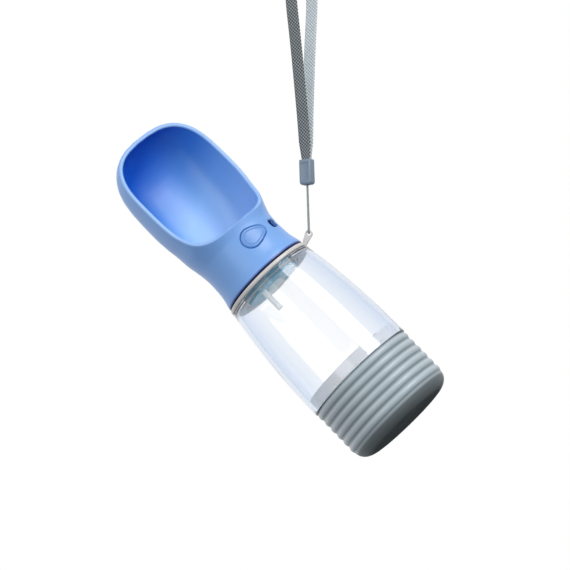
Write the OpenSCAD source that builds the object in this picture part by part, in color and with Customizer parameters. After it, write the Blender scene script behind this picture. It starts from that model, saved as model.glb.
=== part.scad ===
// Travel water bottle for dogs: a drinking scoop with a push valve screws onto a clear bottle,
// and a ribbed food cup screws under it. A wrist strap hangs from a ring round the bottle's neck.
// Millimetres. +Z is up the bottle's axis, z = 0 is the flat base, the scoop opens towards -Y.

/* [Food cup] */
// Radius over the crests of the ribs
cup_r = 37.5; // [36.8:0.1:40]
// Height of the ribbed cup, from the base to its shoulder
cup_h = 41.3; // [39:0.1:46]
// Number of ribs round the cup
rib_count = 6; // [5:1:7]
// Height of the plain foot under the lowest rib
foot_h = 7; // [7:0.1:8]
// Depth of the grooves between the ribs
groove_depth = 0.9; // [0.5:0.1:1.1]
// Radius of the rounded bottom corner
foot_round = 7; // [4:0.5:7]
// Thickness of the cup's wall and floor
cup_wall = 2.2; // [1.6:0.1:2.6]
// Height of the threaded collar above the shoulder
cup_collar_h = 5; // [4.6:0.1:5.4]
// Thickness of the threaded collar
cup_collar_wall = 2; // [1.5:0.1:2.5]

/* [Bottle] */
// How far the clear bottle's lower end stands out past the ribs
bottle_step = 0.2; // [0:0.1:0.5]
// Height of the clear bottle, from the cup's shoulder to its own shoulder
bottle_h = 80.6; // [78:0.2:110]
// Outer radius of the bottle where its shoulder begins to turn in
shoulder_r = 31.6; // [31:0.1:33]
// Thickness of the clear wall
bottle_wall = 2.3; // [1.8:0.1:2.6]
// Outer radius of the neck, without its thread
neck_r = 22.4; // [22:0.1:22.6]
// Thickness of the neck's wall
neck_wall = 2; // [1.7:0.1:2.2]
// Height of the neck above the shoulder
neck_h = 14.2; // [13.8:0.1:14.8]
// Thickness of the welded floor disc
floor_t = 2; // [1.6:0.1:2.6]
// Thickness of the threaded ring under the floor disc
floor_ring_wall = 1.6; // [1.3:0.1:1.8]

/* [Threads] */
// Rise of each screw thread in one turn
pitch = 3; // [2.8:0.1:3.2]
// How far a thread stands out of its wall
thread_h = 1.1; // [0.9:0.05:1.2]
// Width of a thread at its root
thread_root = 1.1; // [0.8:0.1:1.2]
// Width of a thread at its crest
thread_crest = 0.6; // [0.4:0.1:0.7]
// Radial gap between a thread and the wall it runs in
thread_gap = 0.4; // [0.3:0.05:0.5]
// Thickness of the flat silicone gaskets
gasket_t = 0.8; // [0.6:0.1:1]

/* [Strap ring] */
// Thickness of the ring
ring_t = 2.8; // [2.2:0.1:3.2]
// How far the ring stands back from the bottle's shoulder
ring_step = 0.1; // [0:0.1:0.4]
// Distance of the ear's hole from the bottle's axis
ear_reach = 37.7; // [36.6:0.1:38.4]
// Height of the ear's hole above the middle of the ring
ear_rise = 3.2; // [2.8:0.1:5]
// Free play between the ring and the neck above it
ring_play = 0.9; // [0.3:0.1:1.2]
// Radius of the hole in the ear
ear_hole_r = 1.3; // [1.25:0.05:1.6]
// Width of the material round the ear's hole
ear_rim = 1.1; // [1:0.1:1.6]
// Thickness of the ear across its hole
ear_t = 2.4; // [1.8:0.1:2.6]
// Direction of the ear round the axis, from +X
ear_turn = -24; // [-60:1:60]

/* [Drinking scoop] */
// Height of the scoop and its neck together
scoop_h = 117.8; // [112:0.2:124]
// Half of the scoop's greatest width
scoop_half_w = 34.7; // [34:0.1:36]
// Radius at the waist, where the fingers hold it
waist_r = 28.2; // [28:0.1:29.2]
// How far the neck's lower edge stands back from the ring
skirt_step = 0.8; // [0.2:0.1:1.2]
// Distance of the scoop's back from the axis
scoop_back = 25; // [23:0.5:27]
// Distance of the rim in front of the axis, at half height
rim_front = 11.4; // [9:0.1:13]
// Thickness of the scoop's wall
scoop_wall = 2.8; // [2.2:0.1:3]
// Thickness of the scoop's floor above the valve room
scoop_floor = 2.2; // [1.8:0.1:2.6]
// Height of the pouring lip above the bottle's shoulder
lip_up = 37; // [36:0.1:38]

/* [Push button] */
// Width of the drop-shaped button
button_w = 18.5; // [18:0.5:20]
// Height of the drop-shaped button
button_h = 13.6; // [12:0.2:14]
// Height of the button's middle above the bottle's shoulder
button_up = 23.7; // [23.4:0.1:24]
// Travel of the button
button_travel = 2.5; // [2:0.1:2.7]
// Gap round the button
button_gap = 0.35; // [0.3:0.05:0.5]
// Radius of the button's stem
stem_r = 3.5; // [3.2:0.05:3.7]
// Running gap round the button's stem and the valve rod
running_gap = 0.06; // [0.04:0.01:0.09]

/* [Lock] */
// Direction of the lock round the axis, from the button
lock_turn = 43; // [42:0.5:44]
// Length of the slot that the lock slides in
lock_slot_l = 9.5; // [9.2:0.1:10]
// Height of that slot
lock_slot_h = 6; // [5.4:0.1:6.4]
// Travel of the lock
lock_travel = 4; // [3.6:0.1:4.2]

/* [Valve] */
// Outer radius of the valve cup that hangs in the bottle's neck
valve_cup_r = 19.6; // [19.2:0.1:19.8]
// Thickness of the valve cup's walls
valve_wall = 2; // [1.7:0.1:2.2]
// Radius of the hole that the water runs through
seat_r = 5; // [4.4:0.1:5.4]
// Radius of the silicone plug
plug_r = 7; // [6.6:0.1:7.6]
// Thickness of the silicone plug
plug_t = 2.8; // [2.4:0.1:3.4]
// Radius of the valve rod
rod_r = 2.5; // [2.2:0.1:2.6]
// Bore of the outlet tube
outlet_bore_r = 2.4; // [2:0.1:2.5]
// Wall of the small tubes
tube_wall = 1; // [0.8:0.1:1.1]
// Length of the air tube that hangs in the bottle
vent_length = 15; // [10:0.5:20]
// Bore of the air tube
vent_bore_r = 0.9; // [0.7:0.05:1]

/* [Springs] */
// Wire diameter of the two springs
wire_d = 0.7; // [0.6:0.05:0.8]
// Curls in the valve's spring
valve_curls = 6; // [5:1:7]
// Curls in the button's spring
button_curls = 3; // [2:1:4]

/* [Wrist strap] */
// Diameter of the thin cord
cord_d = 1.2; // [1:0.1:1.4]
// Width of the webbing
webbing_w = 8.2; // [7.6:0.1:9]
// Thickness of the webbing
webbing_t = 1; // [0.8:0.1:1.2]
// Width of the clamp
clamp_w = 8.2; // [7.6:0.1:9]
// Depth of the clamp
clamp_d = 6; // [5:0.1:6.6]
// Angle of the strap from upright
strap_lean = 42; // [38:1:50]
// Turn of the webbing's loop round the strap
strap_twist = -28; // [-40:1:0]

/* [Hidden] */

cut = 1;                // how far a cutting shape runs past what it cuts
bite = 0.3;             // how far a joined shape runs into what it joins
thread_bite = 0.6;      // the same under a thread, whose root is cut straight between its rings
seat_gap = 0.1;         // gap of two pieces that are fixed to each other
loose_gap = 0.3;        // gap of two pieces that slide past each other
round_fn = 96;          // sides of the round pieces
small_fn = 40;          // sides of the small round pieces
soft_round = 2.3;       // radius of the bottle's rounded shoulder

// colours
shell_blue = [0.48, 0.65, 0.91];
valve_blue = [0.36, 0.62, 0.74];
clear_plastic = [0.85, 0.92, 0.96, 0.35];
cup_grey = [0.62, 0.67, 0.70];
ring_beige = [0.79, 0.75, 0.72];
silicone = [0.92, 0.93, 0.93];
steel = [0.75, 0.76, 0.78];
clamp_grey = [0.47, 0.53, 0.59];
webbing_grey = [0.48, 0.51, 0.52];

// radii that line up down the side
bottle_r = cup_r + bottle_step;
ring_r = shoulder_r - ring_step;
skirt_r = ring_r - skirt_step;

// heights
shoulder_z = cup_h + bottle_h;
neck_top = shoulder_z + neck_h;
ring_z = shoulder_z + loose_gap;
skirt_z = ring_z + ring_t + ring_play;
scoop_top = skirt_z + scoop_h;
flange_z = neck_top + gasket_t;
flange_t = 1.4;
cover_z = flange_z + flange_t;
cover_t = 1.8;
cover_top = cover_z + cover_t;
cup_floor_z = shoulder_z - bottle_wall - 1;
button_z = shoulder_z + button_up;
lip_z = shoulder_z + lip_up;
ring_mid = ring_z + ring_t / 2;
floor_z = cup_h + cup_collar_h + 1.4;

// the screw that holds the cup to the bottle
floor_ring_r = bottle_r - bottle_wall - seat_gap;
floor_ring_in = floor_ring_r - floor_ring_wall;
cup_collar_r = floor_ring_in - thread_h - thread_gap;

// the screw that holds the scoop to the bottle
valve_skirt_in = neck_r + thread_h + thread_gap;
valve_skirt_r = valve_skirt_in + valve_wall;
room_r = valve_skirt_r + 0.2;

// places inside the valve room, which is under the scoop's floor
hollow_low = lip_z - 2.4;
room_top = hollow_low - scoop_floor;
flange_y = -sqrt(pow(room_r, 2) - pow(button_w / 2 + 1, 2)) + 0.4;
button_flange_t = 1.3;
button_flange_up = min(room_top - button_z, button_z - cover_top) - 0.4;
guide_front = flange_y + button_flange_t + 7.2;
guide_l = 6;
rod_head_r = 4.2;
rod_head_z = cover_top + button_travel + 0.3;
rod_head_top = button_z + rod_head_r - 0.4;
clip_r = 6.6;
clip_t = 1.5;
clip_z = cover_z - clip_t - 1.4;
spring_r = 5.6;
vent_at = [-10.8, -5.2];
outlet_at = [-11.5, 5];
plug_pocket = 2;
rod_low = cup_floor_z - plug_pocket;
outlet_top = lip_z - 2.6;
vent_r = vent_bore_r + tube_wall;

// strap: places along the strap from the ear's hole, by hand
clamp_low = 31;
clamp_len = 16;
clamp_wall = 1;
// half of the thin cord: [across, along]
cord_points = [[0.8, 32], [0.9, 27], [1.3, 21], [1.8, 14], [2.1, 8], [2.2, 4], [2.1, 1.8],
               [1.6, 0.7], [0.8, 0.5]];
// half of the webbing's loop: [across, along]
webbing_points = [[0.8, 46], [1.2, 52], [1.8, 60], [2.8, 72], [4.1, 84], [5.6, 97], [7.4, 112],
                  [9.6, 128], [11.9, 144], [12.7, 157], [12.2, 168], [10.3, 177], [7.2, 184],
                  [3.7, 188]];
webbing_end = 189;

function mirrored_route(half, tip) =
    concat([for (p = half) [-p[0], p[1]]], [[0, tip]],
           [for (i = [len(half) - 1:-1:0]) half[i]]);
cord_route = mirrored_route(cord_points, 0.5);
webbing_route = mirrored_route(webbing_points, webbing_end);

// ---- shapes used by several pieces ----

// A ring of rectangular section.
module tube(r_out, r_in, z_low, z_high) {
    rotate_extrude($fn = round_fn)
        translate([r_in, z_low])
            square([r_out - r_in, z_high - z_low]);
}

// A closed skin over rows of points: each row is one ring, with flat ends.
module skin(rows) {
    n = len(rows[0]);
    m = len(rows);
    points = [for (row = rows) for (p = row) p];
    walls = [for (j = [0:m - 2]) for (i = [0:n - 1]) let (k = (i + 1) % n)
             for (f = [[j * n + i, (j + 1) * n + k, j * n + k],
                       [j * n + i, (j + 1) * n + i, (j + 1) * n + k]]) f];
    low_end = [for (i = [1:n - 2]) [0, i, i + 1]];
    high_end = [for (i = [1:n - 2]) [(m - 1) * n, (m - 1) * n + i + 1, (m - 1) * n + i]];
    polyhedron(points, concat(walls, low_end, high_end));
}

// A ridge that climbs round a wall. The wall is at wall_r, and the ridge stands out of it by
// reach, which is negative on the inside of a tube. It fades in and out over its first and
// last steps.
module thread(wall_r, reach, z_low, turns, start) {
    steps = 24;
    count = floor(steps * turns);
    root = wall_r - sign(reach) * thread_bite;
    rows = [for (i = [0:count])
            let (a = start + i * 360 / steps, z = z_low + pitch * i / steps,
                 fade = min(1, min(i, count - i) / 2 + 0.1), crest = wall_r + reach * fade,
                 section = [[root, -thread_root / 2], [root, thread_root / 2],
                            [crest, thread_crest / 2], [crest, -thread_crest / 2]])
            [for (k = [0:3]) let (c = section[reach > 0 ? k : 3 - k])
             [c[0] * cos(a), c[0] * sin(a), z + c[1]]]];
    skin(rows);
}

// A round wire coil about +Z, with its ends running straight along the coil's tangent.
module coil(mean_r, z_low, z_high, curls) {
    rings = 8;
    sides = 6;
    count = rings * curls;
    climb = (z_high - z_low - wire_d) / curls;
    gap = climb - wire_d;
    echo(str("least gap between the curls: ", gap, " mm"));
    rows = [for (i = [0:count]) let (a = i * 360 / rings, z = z_low + wire_d / 2 + climb * i / rings)
            [for (s = [0:sides - 1]) let (b = s * 360 / sides, w = mean_r + wire_d / 2 * cos(b))
             [w * cos(a), w * sin(a), z - wire_d / 2 * sin(b)]]];
    skin(rows);
}

function unit(v) = v / norm(v);

// Rings of a band of half width hw and half thickness ht along a route in the YZ plane.
function band_rows(route, hw, ht, pinch) = [for (i = [0:len(route) - 1])
    let (before = route[max(i - 1, 0)], after = route[min(i + 1, len(route) - 1)],
         along = unit(after - before), side = [along[1], -along[0]],
         w = hw * (1 - pinch * max(0, 1 - (route[i][1] - route[0][1]) / 12)))
    [for (c = [[1, 0], [0.93, 0.7], [0, 1], [-0.93, 0.7], [-1, 0], [-0.93, -0.7], [0, -1],
               [0.93, -0.7]])
     [w * c[0], route[i][0] + ht * c[1] * side[0], route[i][1] + ht * c[1] * side[1]]]];

// Puts a piece in the strap's own frame: +Z along the strap, from the ear's hole.
module on_strap() {
    rotate([0, 0, ear_turn])
        translate([ear_reach, 0, ring_mid + ear_rise])
            rotate([0, strap_lean, 0])
                children();
}

// ---- food cup ----

foot_r = cup_r - groove_depth;
rib_h = (cup_h - foot_h) / rib_count;
foot_arc = [for (a = [0:15:90])
            [foot_r - foot_round + foot_round * sin(a), foot_round - foot_round * cos(a)]];
ribs = [for (k = [0:rib_count - 1]) for (i = [0:5])
        [foot_r + groove_depth * pow(sin(i * 30), 0.6), foot_h + rib_h * (k + i / 6)]];
cup_in_r = foot_r - cup_wall;
collar_in_r = cup_collar_r - cup_collar_wall;
inner_round = foot_round - cup_wall / 2;
cup_in_arc = [for (a = [90:-15:0])
              [cup_in_r - inner_round + inner_round * sin(a),
               cup_wall + inner_round - inner_round * cos(a)]];

module food_cup() {
    color(cup_grey) {
        rotate_extrude($fn = round_fn)
            polygon(concat([[0, 0]], foot_arc, ribs,
                           [[foot_r, cup_h], [cup_collar_r, cup_h],
                            [cup_collar_r, cup_h + cup_collar_h],
                            [collar_in_r, cup_h + cup_collar_h],
                            [collar_in_r, cup_h - 0.5], [cup_in_r, cup_h - 4]],
                           cup_in_arc, [[0, cup_wall]]));
        thread(cup_collar_r, thread_h, cup_h + 1.7, 0.8, 0);
    }
}

module cup_gasket() {
    color(silicone)
        tube(floor_ring_r, floor_ring_in, cup_h, cup_h + gasket_t);
}

// ---- bottle ----

// The bottle's outer radius at a share t of its height, a soft barrel.
function barrel(t) = bottle_r - (bottle_r - shoulder_r) * pow(t, 2.1);
barrel_steps = 14;
barrel_top = shoulder_z - soft_round;
function barrel_point(i, inset) = let (t = i / barrel_steps)
    [barrel(t) - inset, cup_h + seat_gap + t * (barrel_top - cup_h - seat_gap)];
barrel_out = [for (i = [0:barrel_steps]) barrel_point(i, 0)];
barrel_in = [for (i = [barrel_steps:-1:0]) barrel_point(i, bottle_wall)];
shoulder_arc = [for (a = [15:15:90])
                [shoulder_r - soft_round + soft_round * cos(a), barrel_top + soft_round * sin(a)]];
neck_in = neck_r - neck_wall;

module bottle() {
    color(clear_plastic) {
        rotate_extrude($fn = round_fn)
            polygon(concat(barrel_out, shoulder_arc,
                           [[neck_r, shoulder_z], [neck_r, neck_top], [neck_in, neck_top],
                            [neck_in, shoulder_z - bottle_wall],
                            [shoulder_r - bottle_wall - 1, shoulder_z - bottle_wall]],
                           barrel_in));
        thread(neck_r, thread_h, shoulder_z + 6.2, 1.5, 0);
    }
}

module bottle_floor() {
    ring_low = cup_h + gasket_t;
    color(clear_plastic) {
        tube(floor_ring_r - 0.3, floor_ring_in, ring_low, floor_z + floor_t);
        cylinder_at(floor_ring_r - 0.3, floor_z, floor_z + floor_t);
        thread(floor_ring_in, -thread_h, cup_h + 1.7, 0.8, 180);
    }
}

module cylinder_at(r, z_low, z_high) {
    translate([0, 0, z_low])
        cylinder(r = r, h = z_high - z_low, $fn = round_fn);
}

// ---- strap ring ----

ear_r = ear_hole_r + ear_rim;

module collar_ring() {
    edge = 0.9;
    color(ring_beige) difference() {
        union() {
            rotate_extrude($fn = round_fn)
                polygon([[neck_r + loose_gap, ring_z], [ring_r - edge, ring_z],
                         [ring_r - edge / 4, ring_z + edge / 3], [ring_r, ring_z + edge],
                         [ring_r, ring_z + ring_t - edge],
                         [ring_r - edge / 4, ring_z + ring_t - edge / 3],
                         [ring_r - edge, ring_z + ring_t], [neck_r + loose_gap, ring_z + ring_t]]);
            rotate([0, 0, ear_turn]) hull() {
                translate([ring_r - 1.5, 0, ring_mid])
                    rotate([90, 0, 0])
                        cylinder(r = ring_t / 2 - 0.1, h = ear_t, center = true, $fn = 32);
                translate([ear_reach, 0, ring_mid + ear_rise])
                    rotate([90, 0, 0])
                        cylinder(r = ear_r, h = ear_t, center = true, $fn = 32);
            }
        }
        rotate([0, 0, ear_turn])
            translate([ear_reach, 0, ring_mid + ear_rise])
                rotate([90, 0, 0])
                    cylinder(r = ear_hole_r, h = ear_t + 2 * cut, center = true, $fn = small_fn);
    }
}

module neck_gasket() {
    color(silicone)
        tube(neck_r, valve_cup_r + loose_gap, neck_top, flange_z);
}

// ---- drinking scoop ----

// Stations up the scoop: share of its height, half width, centre, back and squareness.
// Half width and back are shares of the scoop's own sizes.
widest = scoop_half_w;
rim_back = rim_front - 1.5;
stations = [
    // share, half width, centre y, depth behind the centre, squareness
    [0, skirt_r, 0, skirt_r, 2],
    [0.02, skirt_r - 0.3, 0, skirt_r - 0.3, 2],
    [0.06, waist_r + 1, 0, waist_r + 1, 2],
    [0.11, waist_r + 0.25, 0, waist_r + 0.25, 2],
    [0.17, waist_r, 0, waist_r, 2],
    [0.22, waist_r + 0.2, 0, waist_r - 0.1, 2.05],
    [0.27, waist_r + 1.3, -0.8, waist_r + 0.2, 2.15],
    [0.33, waist_r + 3, -2.5, waist_r + 1, 2.3],
    [0.4, widest - 2.4, -4.4, scoop_back + 5.2, 2.45],
    [0.48, widest - 0.8, -5.6, scoop_back + 5.8, 2.55],
    [0.56, widest - 0.1, -6, scoop_back + 6, 2.6],
    [0.64, widest, -6, scoop_back + 5.6, 2.6],
    [0.72, widest - 0.1, -6, scoop_back + 4.6, 2.6],
    [0.79, widest - 0.8, -6, scoop_back + 3, 2.6],
    [0.85, widest - 2.4, -6, scoop_back + 0.6, 2.55],
    [0.9, widest - 5.2, -6, scoop_back - 3, 2.5],
    [0.94, widest - 9, -6, scoop_back - 7.6, 2.45],
    [0.97, widest - 14, -6, scoop_back - 12.4, 2.4],
    [0.99, widest - 20, -6, scoop_back - 17, 2.3],
    [1, widest - 27, -6, scoop_back - 21, 2.2]];

function column(k) = [for (s = stations) [s[0], s[k]]];
function at(k, t) = lookup(t, column(k));
function signed_pow(v, p) = sign(v) * pow(abs(v), p);

// One ring of the scoop at height z, drawn in by inset. Its front half is as deep as the neck.
ring_sides = 48;
function scoop_ring(z, inset) =
    let (t = (z - skirt_z) / scoop_h, hw = at(1, t) - inset, cy = at(2, t),
         back = at(3, t) - inset, p = 2 / at(4, t))
    [for (i = [0:ring_sides - 1]) let (a = i * 360 / ring_sides)
     [hw * signed_pow(cos(a), p), cy + back * signed_pow(sin(a), p), z]];

// The hollow follows the outside at the wall's thickness, with a rounded floor and end.
hollow_high = scoop_top - scoop_wall - 0.4;
hollow_stations = [[0, 10], [0.008, 5.6], [0.02, 2.7], [0.04, 1], [0.07, 0.2], [0.1, 0],
                   [0.16, 0], [0.24, 0], [0.32, 0], [0.4, 0], [0.48, 0], [0.56, 0],
                   [0.64, 0], [0.72, 0], [0.78, 0], [0.84, 0], [0.89, 0], [0.93, 0],
                   [0.96, 0], [0.98, 0], [1, 0]];

module scoop_hollow() {
    skin([for (s = hollow_stations)
          scoop_ring(hollow_low + s[0] * (hollow_high - hollow_low), scoop_wall + s[1])]);
}

// What is cut off the front: above the lip, and in front of the rim, which sweeps forward
// to the lip in a quarter of an ellipse.
sweep_h = 25;
rim_mid_up = 45;        // the height over the lip at which rim_front is measured
module front_cut() {
    far = 3 * scoop_half_w;
    lean = (rim_front - rim_back) / 38;
    mid_z = lip_z + rim_mid_up;
    start_y = -rim_front - lean * (mid_z - lip_z - sweep_h);
    lip_y = -waist_r - 0.6;
    sweep = [for (a = [0:10:90])
             [start_y + (lip_y - start_y) * (1 - cos(a)), lip_z + sweep_h * (1 - sin(a))]];
    top_y = -rim_front + lean * (scoop_top - mid_z);
    rotate([90, 0, 90])
        translate([0, 0, -far / 2])
            linear_extrude(height = far)
                polygon(concat([[top_y, scoop_top + cut], [top_y, scoop_top]], sweep,
                               [[-far, lip_z], [-far, scoop_top + cut]]));
}

// The drop-shaped outline of the button, in its own plane, grown by grow.
module drop(grow) {
    big = button_h / 2;
    tip = 0.31 * button_h;
    hull() {
        translate([-button_w / 2 + big, 0])
            circle(r = big + grow, $fn = 40);
        translate([-button_w / 2 + big + 3, 0])
            circle(r = big - 0.6 + grow, $fn = 40);
        translate([button_w / 2 - tip, 0])
            circle(r = tip + grow, $fn = 24);
    }
}

// Stands a flat outline up in front of the axis, facing -Y at the button's height.
module facing_front(y_low, y_high) {
    translate([0, y_high, button_z])
        rotate([90, 0, 0])
            linear_extrude(height = y_high - y_low)
                children();
}

module lock_frame() {
    rotate([0, 0, lock_turn])
        translate([0, 0, button_z])
            children();
}

module bowl_shell() {
    outer_rows = [for (s = stations) scoop_ring(skirt_z + s[0] * scoop_h, 0)];
    color(shell_blue)
        resize([0, 0, scoop_h]) difference() {
            skin(outer_rows);
            scoop_hollow();
            front_cut();
            cylinder_at(room_r, skirt_z - cut, room_top);
            facing_front(-skirt_r - cut, flange_y + button_travel + loose_gap)
                drop(button_gap);
            lock_frame()
                translate([-lock_slot_l / 2, -skirt_r - cut, -lock_slot_h / 2])
                    cube([lock_slot_l, skirt_r + cut - room_r * 0.8, lock_slot_h]);
            translate([outlet_at[0], outlet_at[1], room_top - cut])
                cylinder(r = outlet_bore_r + tube_wall + seat_gap, h = scoop_floor + 4,
                         $fn = small_fn);
        }
}

// ---- valve ----

module valve_body() {
    color(valve_blue) difference() {
        union() {
            tube(valve_skirt_r, valve_skirt_in, skirt_z + 0.5, cover_z);
            tube(valve_skirt_r, valve_cup_r - valve_wall, flange_z, cover_z);
            tube(valve_cup_r, valve_cup_r - valve_wall, cup_floor_z, cover_z);
            cylinder_at(valve_cup_r, cup_floor_z, cup_floor_z + valve_wall);
            thread(valve_skirt_in, -thread_h, shoulder_z + 6.2, 1.3, 180);
        }
        cylinder_at(seat_r, cup_floor_z - cut, cup_floor_z + valve_wall + cut);
        translate([vent_at[0], vent_at[1], cup_floor_z - cut])
            cylinder(r = vent_r, h = valve_wall + 2 * cut, $fn = small_fn);
    }
}

module valve_cover() {
    block_w = 2 * stem_r + 5;
    block_h = button_z + stem_r + 1 - cover_top;
    color(valve_blue) difference() {
        union() {
            intersection() {
                cylinder_at(valve_skirt_r - seat_gap, cover_z, cover_top);
                translate([-room_r, flange_y + button_travel + loose_gap, cover_z])
                    cube([2 * room_r, 2 * room_r, cover_t]);
            }
            translate([-block_w / 2, guide_front, cover_top - bite])
                cube([block_w, guide_l, block_h + bite]);
        }
        cylinder_at(rod_r + running_gap, cover_z - cut, cover_top + cut);
        translate([0, guide_front - cut, button_z])
            rotate([-90, 0, 0])
                cylinder(r = stem_r + running_gap, h = guide_l + 2 * cut, $fn = small_fn);
        translate([outlet_at[0], outlet_at[1], cover_z - cut])
            cylinder(r = outlet_bore_r + tube_wall, h = cover_t + 2 * cut, $fn = small_fn);
    }
}

module vent_tube() {
    color(silicone)
        translate([vent_at[0], vent_at[1], 0]) difference() {
            translate([0, 0, cup_floor_z - vent_length])
                cylinder(r = vent_r, h = vent_length + valve_wall, $fn = small_fn);
            translate([0, 0, cup_floor_z - vent_length - cut])
                cylinder(r = vent_bore_r, h = vent_length + valve_wall + 2 * cut, $fn = small_fn);
        }
}

// A soft beak valve: air goes in, water stays out of the tube.
module vent_valve() {
    low = cup_floor_z + valve_wall;
    brim_h = 1;
    beak_h = 4;
    color(silicone)
        translate([vent_at[0], vent_at[1], low]) {
            difference() {
                cylinder(r = vent_r + 0.6, h = brim_h, $fn = small_fn);
                translate([0, 0, -cut])
                    cylinder(r = vent_bore_r, h = brim_h + 2 * cut, $fn = small_fn);
            }
            translate([0, 0, brim_h]) difference() {
                cylinder(r1 = vent_r, r2 = vent_bore_r, h = beak_h, $fn = small_fn);
                translate([0, 0, -cut])
                    cylinder(r = vent_bore_r / 2, h = beak_h + 2 * cut, $fn = small_fn);
            }
        }
}

module outlet_tube() {
    color(silicone)
        translate([outlet_at[0], outlet_at[1], 0]) difference() {
            translate([0, 0, cover_z])
                cylinder(r = outlet_bore_r + tube_wall, h = outlet_top - cover_z, $fn = small_fn);
            translate([0, 0, cover_z - cut])
                cylinder(r = outlet_bore_r, h = outlet_top - cover_z + 2 * cut, $fn = small_fn);
        }
}

// ---- button ----

// Everything in front of the sloped face that the button and the valve rod share.
module above_slope(gap) {
    size = 60;
    translate([0, 0, button_z + gap])
        rotate([45, 0, 0])
            translate([-size / 2, -size / 2, 0])
                cube([size, size, size]);
}

module push_button() {
    cap_front = -waist_r;
    color(shell_blue) {
        intersection() {
            facing_front(cap_front - 2, flange_y)
                drop(0);
            cylinder_at(waist_r + 0.3, button_z - button_h, button_z + button_h);
        }
        facing_front(flange_y - bite, flange_y + button_flange_t)
            intersection() {
                drop(0.8);
                translate([-button_w, -button_flange_up])
                    square([button_w * 1.5 + 0.5, 2 * button_flange_up]);
            }
        intersection() {
            translate([0, flange_y + button_flange_t - bite, button_z])
                rotate([-90, 0, 0])
                    cylinder(r = stem_r, h = rod_head_r - flange_y, $fn = small_fn);
            above_slope(0.15);
        }
    }
}

module button_spring() {
    low = flange_y + button_flange_t;
    color(steel)
        translate([0, 0, button_z])
            rotate([-90, 0, 0])
                coil(stem_r + wire_d / 2 + 0.5, low + seat_gap, guide_front - seat_gap,
                     button_curls);
}

module valve_rod() {
    color(valve_blue) {
        translate([0, 0, rod_low])
            cylinder(r = rod_r, h = rod_head_z - rod_low + bite, $fn = small_fn);
        difference() {
            translate([0, 0, rod_head_z])
                cylinder(r = rod_head_r, h = rod_head_top - rod_head_z, $fn = small_fn);
            above_slope(0);
        }
    }
}

module spring_clip() {
    color(steel)
        tube(clip_r, rod_r + 0.02, clip_z, clip_z + clip_t);
}

module valve_plug() {
    color(silicone)
        translate([0, 0, cup_floor_z - plug_t]) difference() {
            cylinder(r = plug_r, h = plug_t, $fn = round_fn);
            translate([0, 0, plug_t - plug_pocket])
                cylinder(r = rod_r + 0.02, h = plug_pocket + cut, $fn = small_fn);
        }
}

module valve_spring() {
    color(steel)
        coil(spring_r, cup_floor_z + valve_wall + seat_gap, clip_z - seat_gap, valve_curls);
}

// ---- lock ----

module lock_slider() {
    plate_y = -sqrt(pow(room_r, 2) - pow(8, 2)) + loose_gap;
    plate_t = 1.2;
    knob_w = 3.4;
    knob_h = lock_slot_h - 2 * loose_gap;
    knob_x = lock_slot_l / 2 - loose_gap - knob_w;
    tongue_t = 1.2;
    tongue_y = plate_y + plate_t + 1.1;
    color(shell_blue)
        lock_frame() {
            translate([knob_x, -waist_r + 0.8, -knob_h / 2])
                cube([knob_w, waist_r - 0.8 + plate_y + bite, knob_h]);
            translate([knob_x - 3, plate_y, -4])
                cube([7.6, plate_t, 8]);
            translate([0, plate_y + plate_t - bite, -2])
                cube([3, tongue_y - plate_y, 4]);
            translate([-4.2, tongue_y, -2])
                cube([knob_x + 6, tongue_t, 4]);
        }
}

// ---- wrist strap ----

// The thin cord: one tube from the clamp, through the ear's hole and back.
module wrist_cord() {
    sides = 8;
    r = cord_d / 2;
    color(webbing_grey)
        on_strap()
            skin([for (i = [0:len(cord_route) - 1])
                  let (before = cord_route[max(i - 1, 0)],
                       after = cord_route[min(i + 1, len(cord_route) - 1)],
                       along = unit(after - before), side = [along[1], -along[0]])
                  [for (s = [0:sides - 1]) let (b = s * 360 / sides)
                   [r * cos(b), cord_route[i][0] + r * sin(b) * side[0],
                    cord_route[i][1] + r * sin(b) * side[1]]]]);
}

module cord_clamp() {
    edge = 0.6;             // rounding of the top edges
    foot = 1.8;             // rounding of the bottom corners
    color(clamp_grey)
        on_strap()
            rotate([0, 0, strap_twist]) difference() {
                hull()
                    for (x = [-1, 1], y = [-1, 1]) {
                        translate([x * (clamp_w / 2 - foot), y * (clamp_d / 2 - foot),
                                   clamp_low + foot])
                            sphere(r = foot, $fn = 16);
                        translate([x * (clamp_w / 2 - edge), y * (clamp_d / 2 - edge),
                                   clamp_low + clamp_len - edge])
                            sphere(r = edge, $fn = 12);
                    }
                translate([-webbing_w * 0.36, -webbing_t - 0.6,
                           clamp_low + clamp_len / 2 + clamp_wall])
                    cube([webbing_w * 0.72, 2 * webbing_t + 1.2, clamp_len]);
                translate([-cord_d, -cord_d - 0.3, clamp_low - cut])
                    cube([2 * cord_d, 2 * cord_d + 0.6, 3]);
            }
}

module wrist_webbing() {
    color(webbing_grey)
        on_strap()
            rotate([0, 0, strap_twist])
                skin(band_rows(webbing_route, webbing_w / 2, webbing_t / 2, 0.32));
}

food_cup();
cup_gasket();
bottle();
bottle_floor();
collar_ring();
neck_gasket();
bowl_shell();
valve_body();
valve_cover();
vent_tube();
vent_valve();
outlet_tube();
push_button();
button_spring();
lock_slider();
valve_rod();
spring_clip();
valve_plug();
valve_spring();
wrist_cord();
cord_clamp();
wrist_webbing();
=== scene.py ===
# %% [markdown]
# # A travel water bottle for dogs
# The real bottle has a blue drinking scoop on top, a clear bottle in the middle, a ribbed
# grey food cup below and a wrist strap on a ring round its neck.
# The CAD model comes in first as a fixed frame. Every piece below is made in the same
# frame, so it goes where the CAD says, and rides on a CAD body.

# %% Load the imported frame
import math
import bmesh
import bpy
import numpy as np
from mathutils import Matrix, Vector


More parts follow.
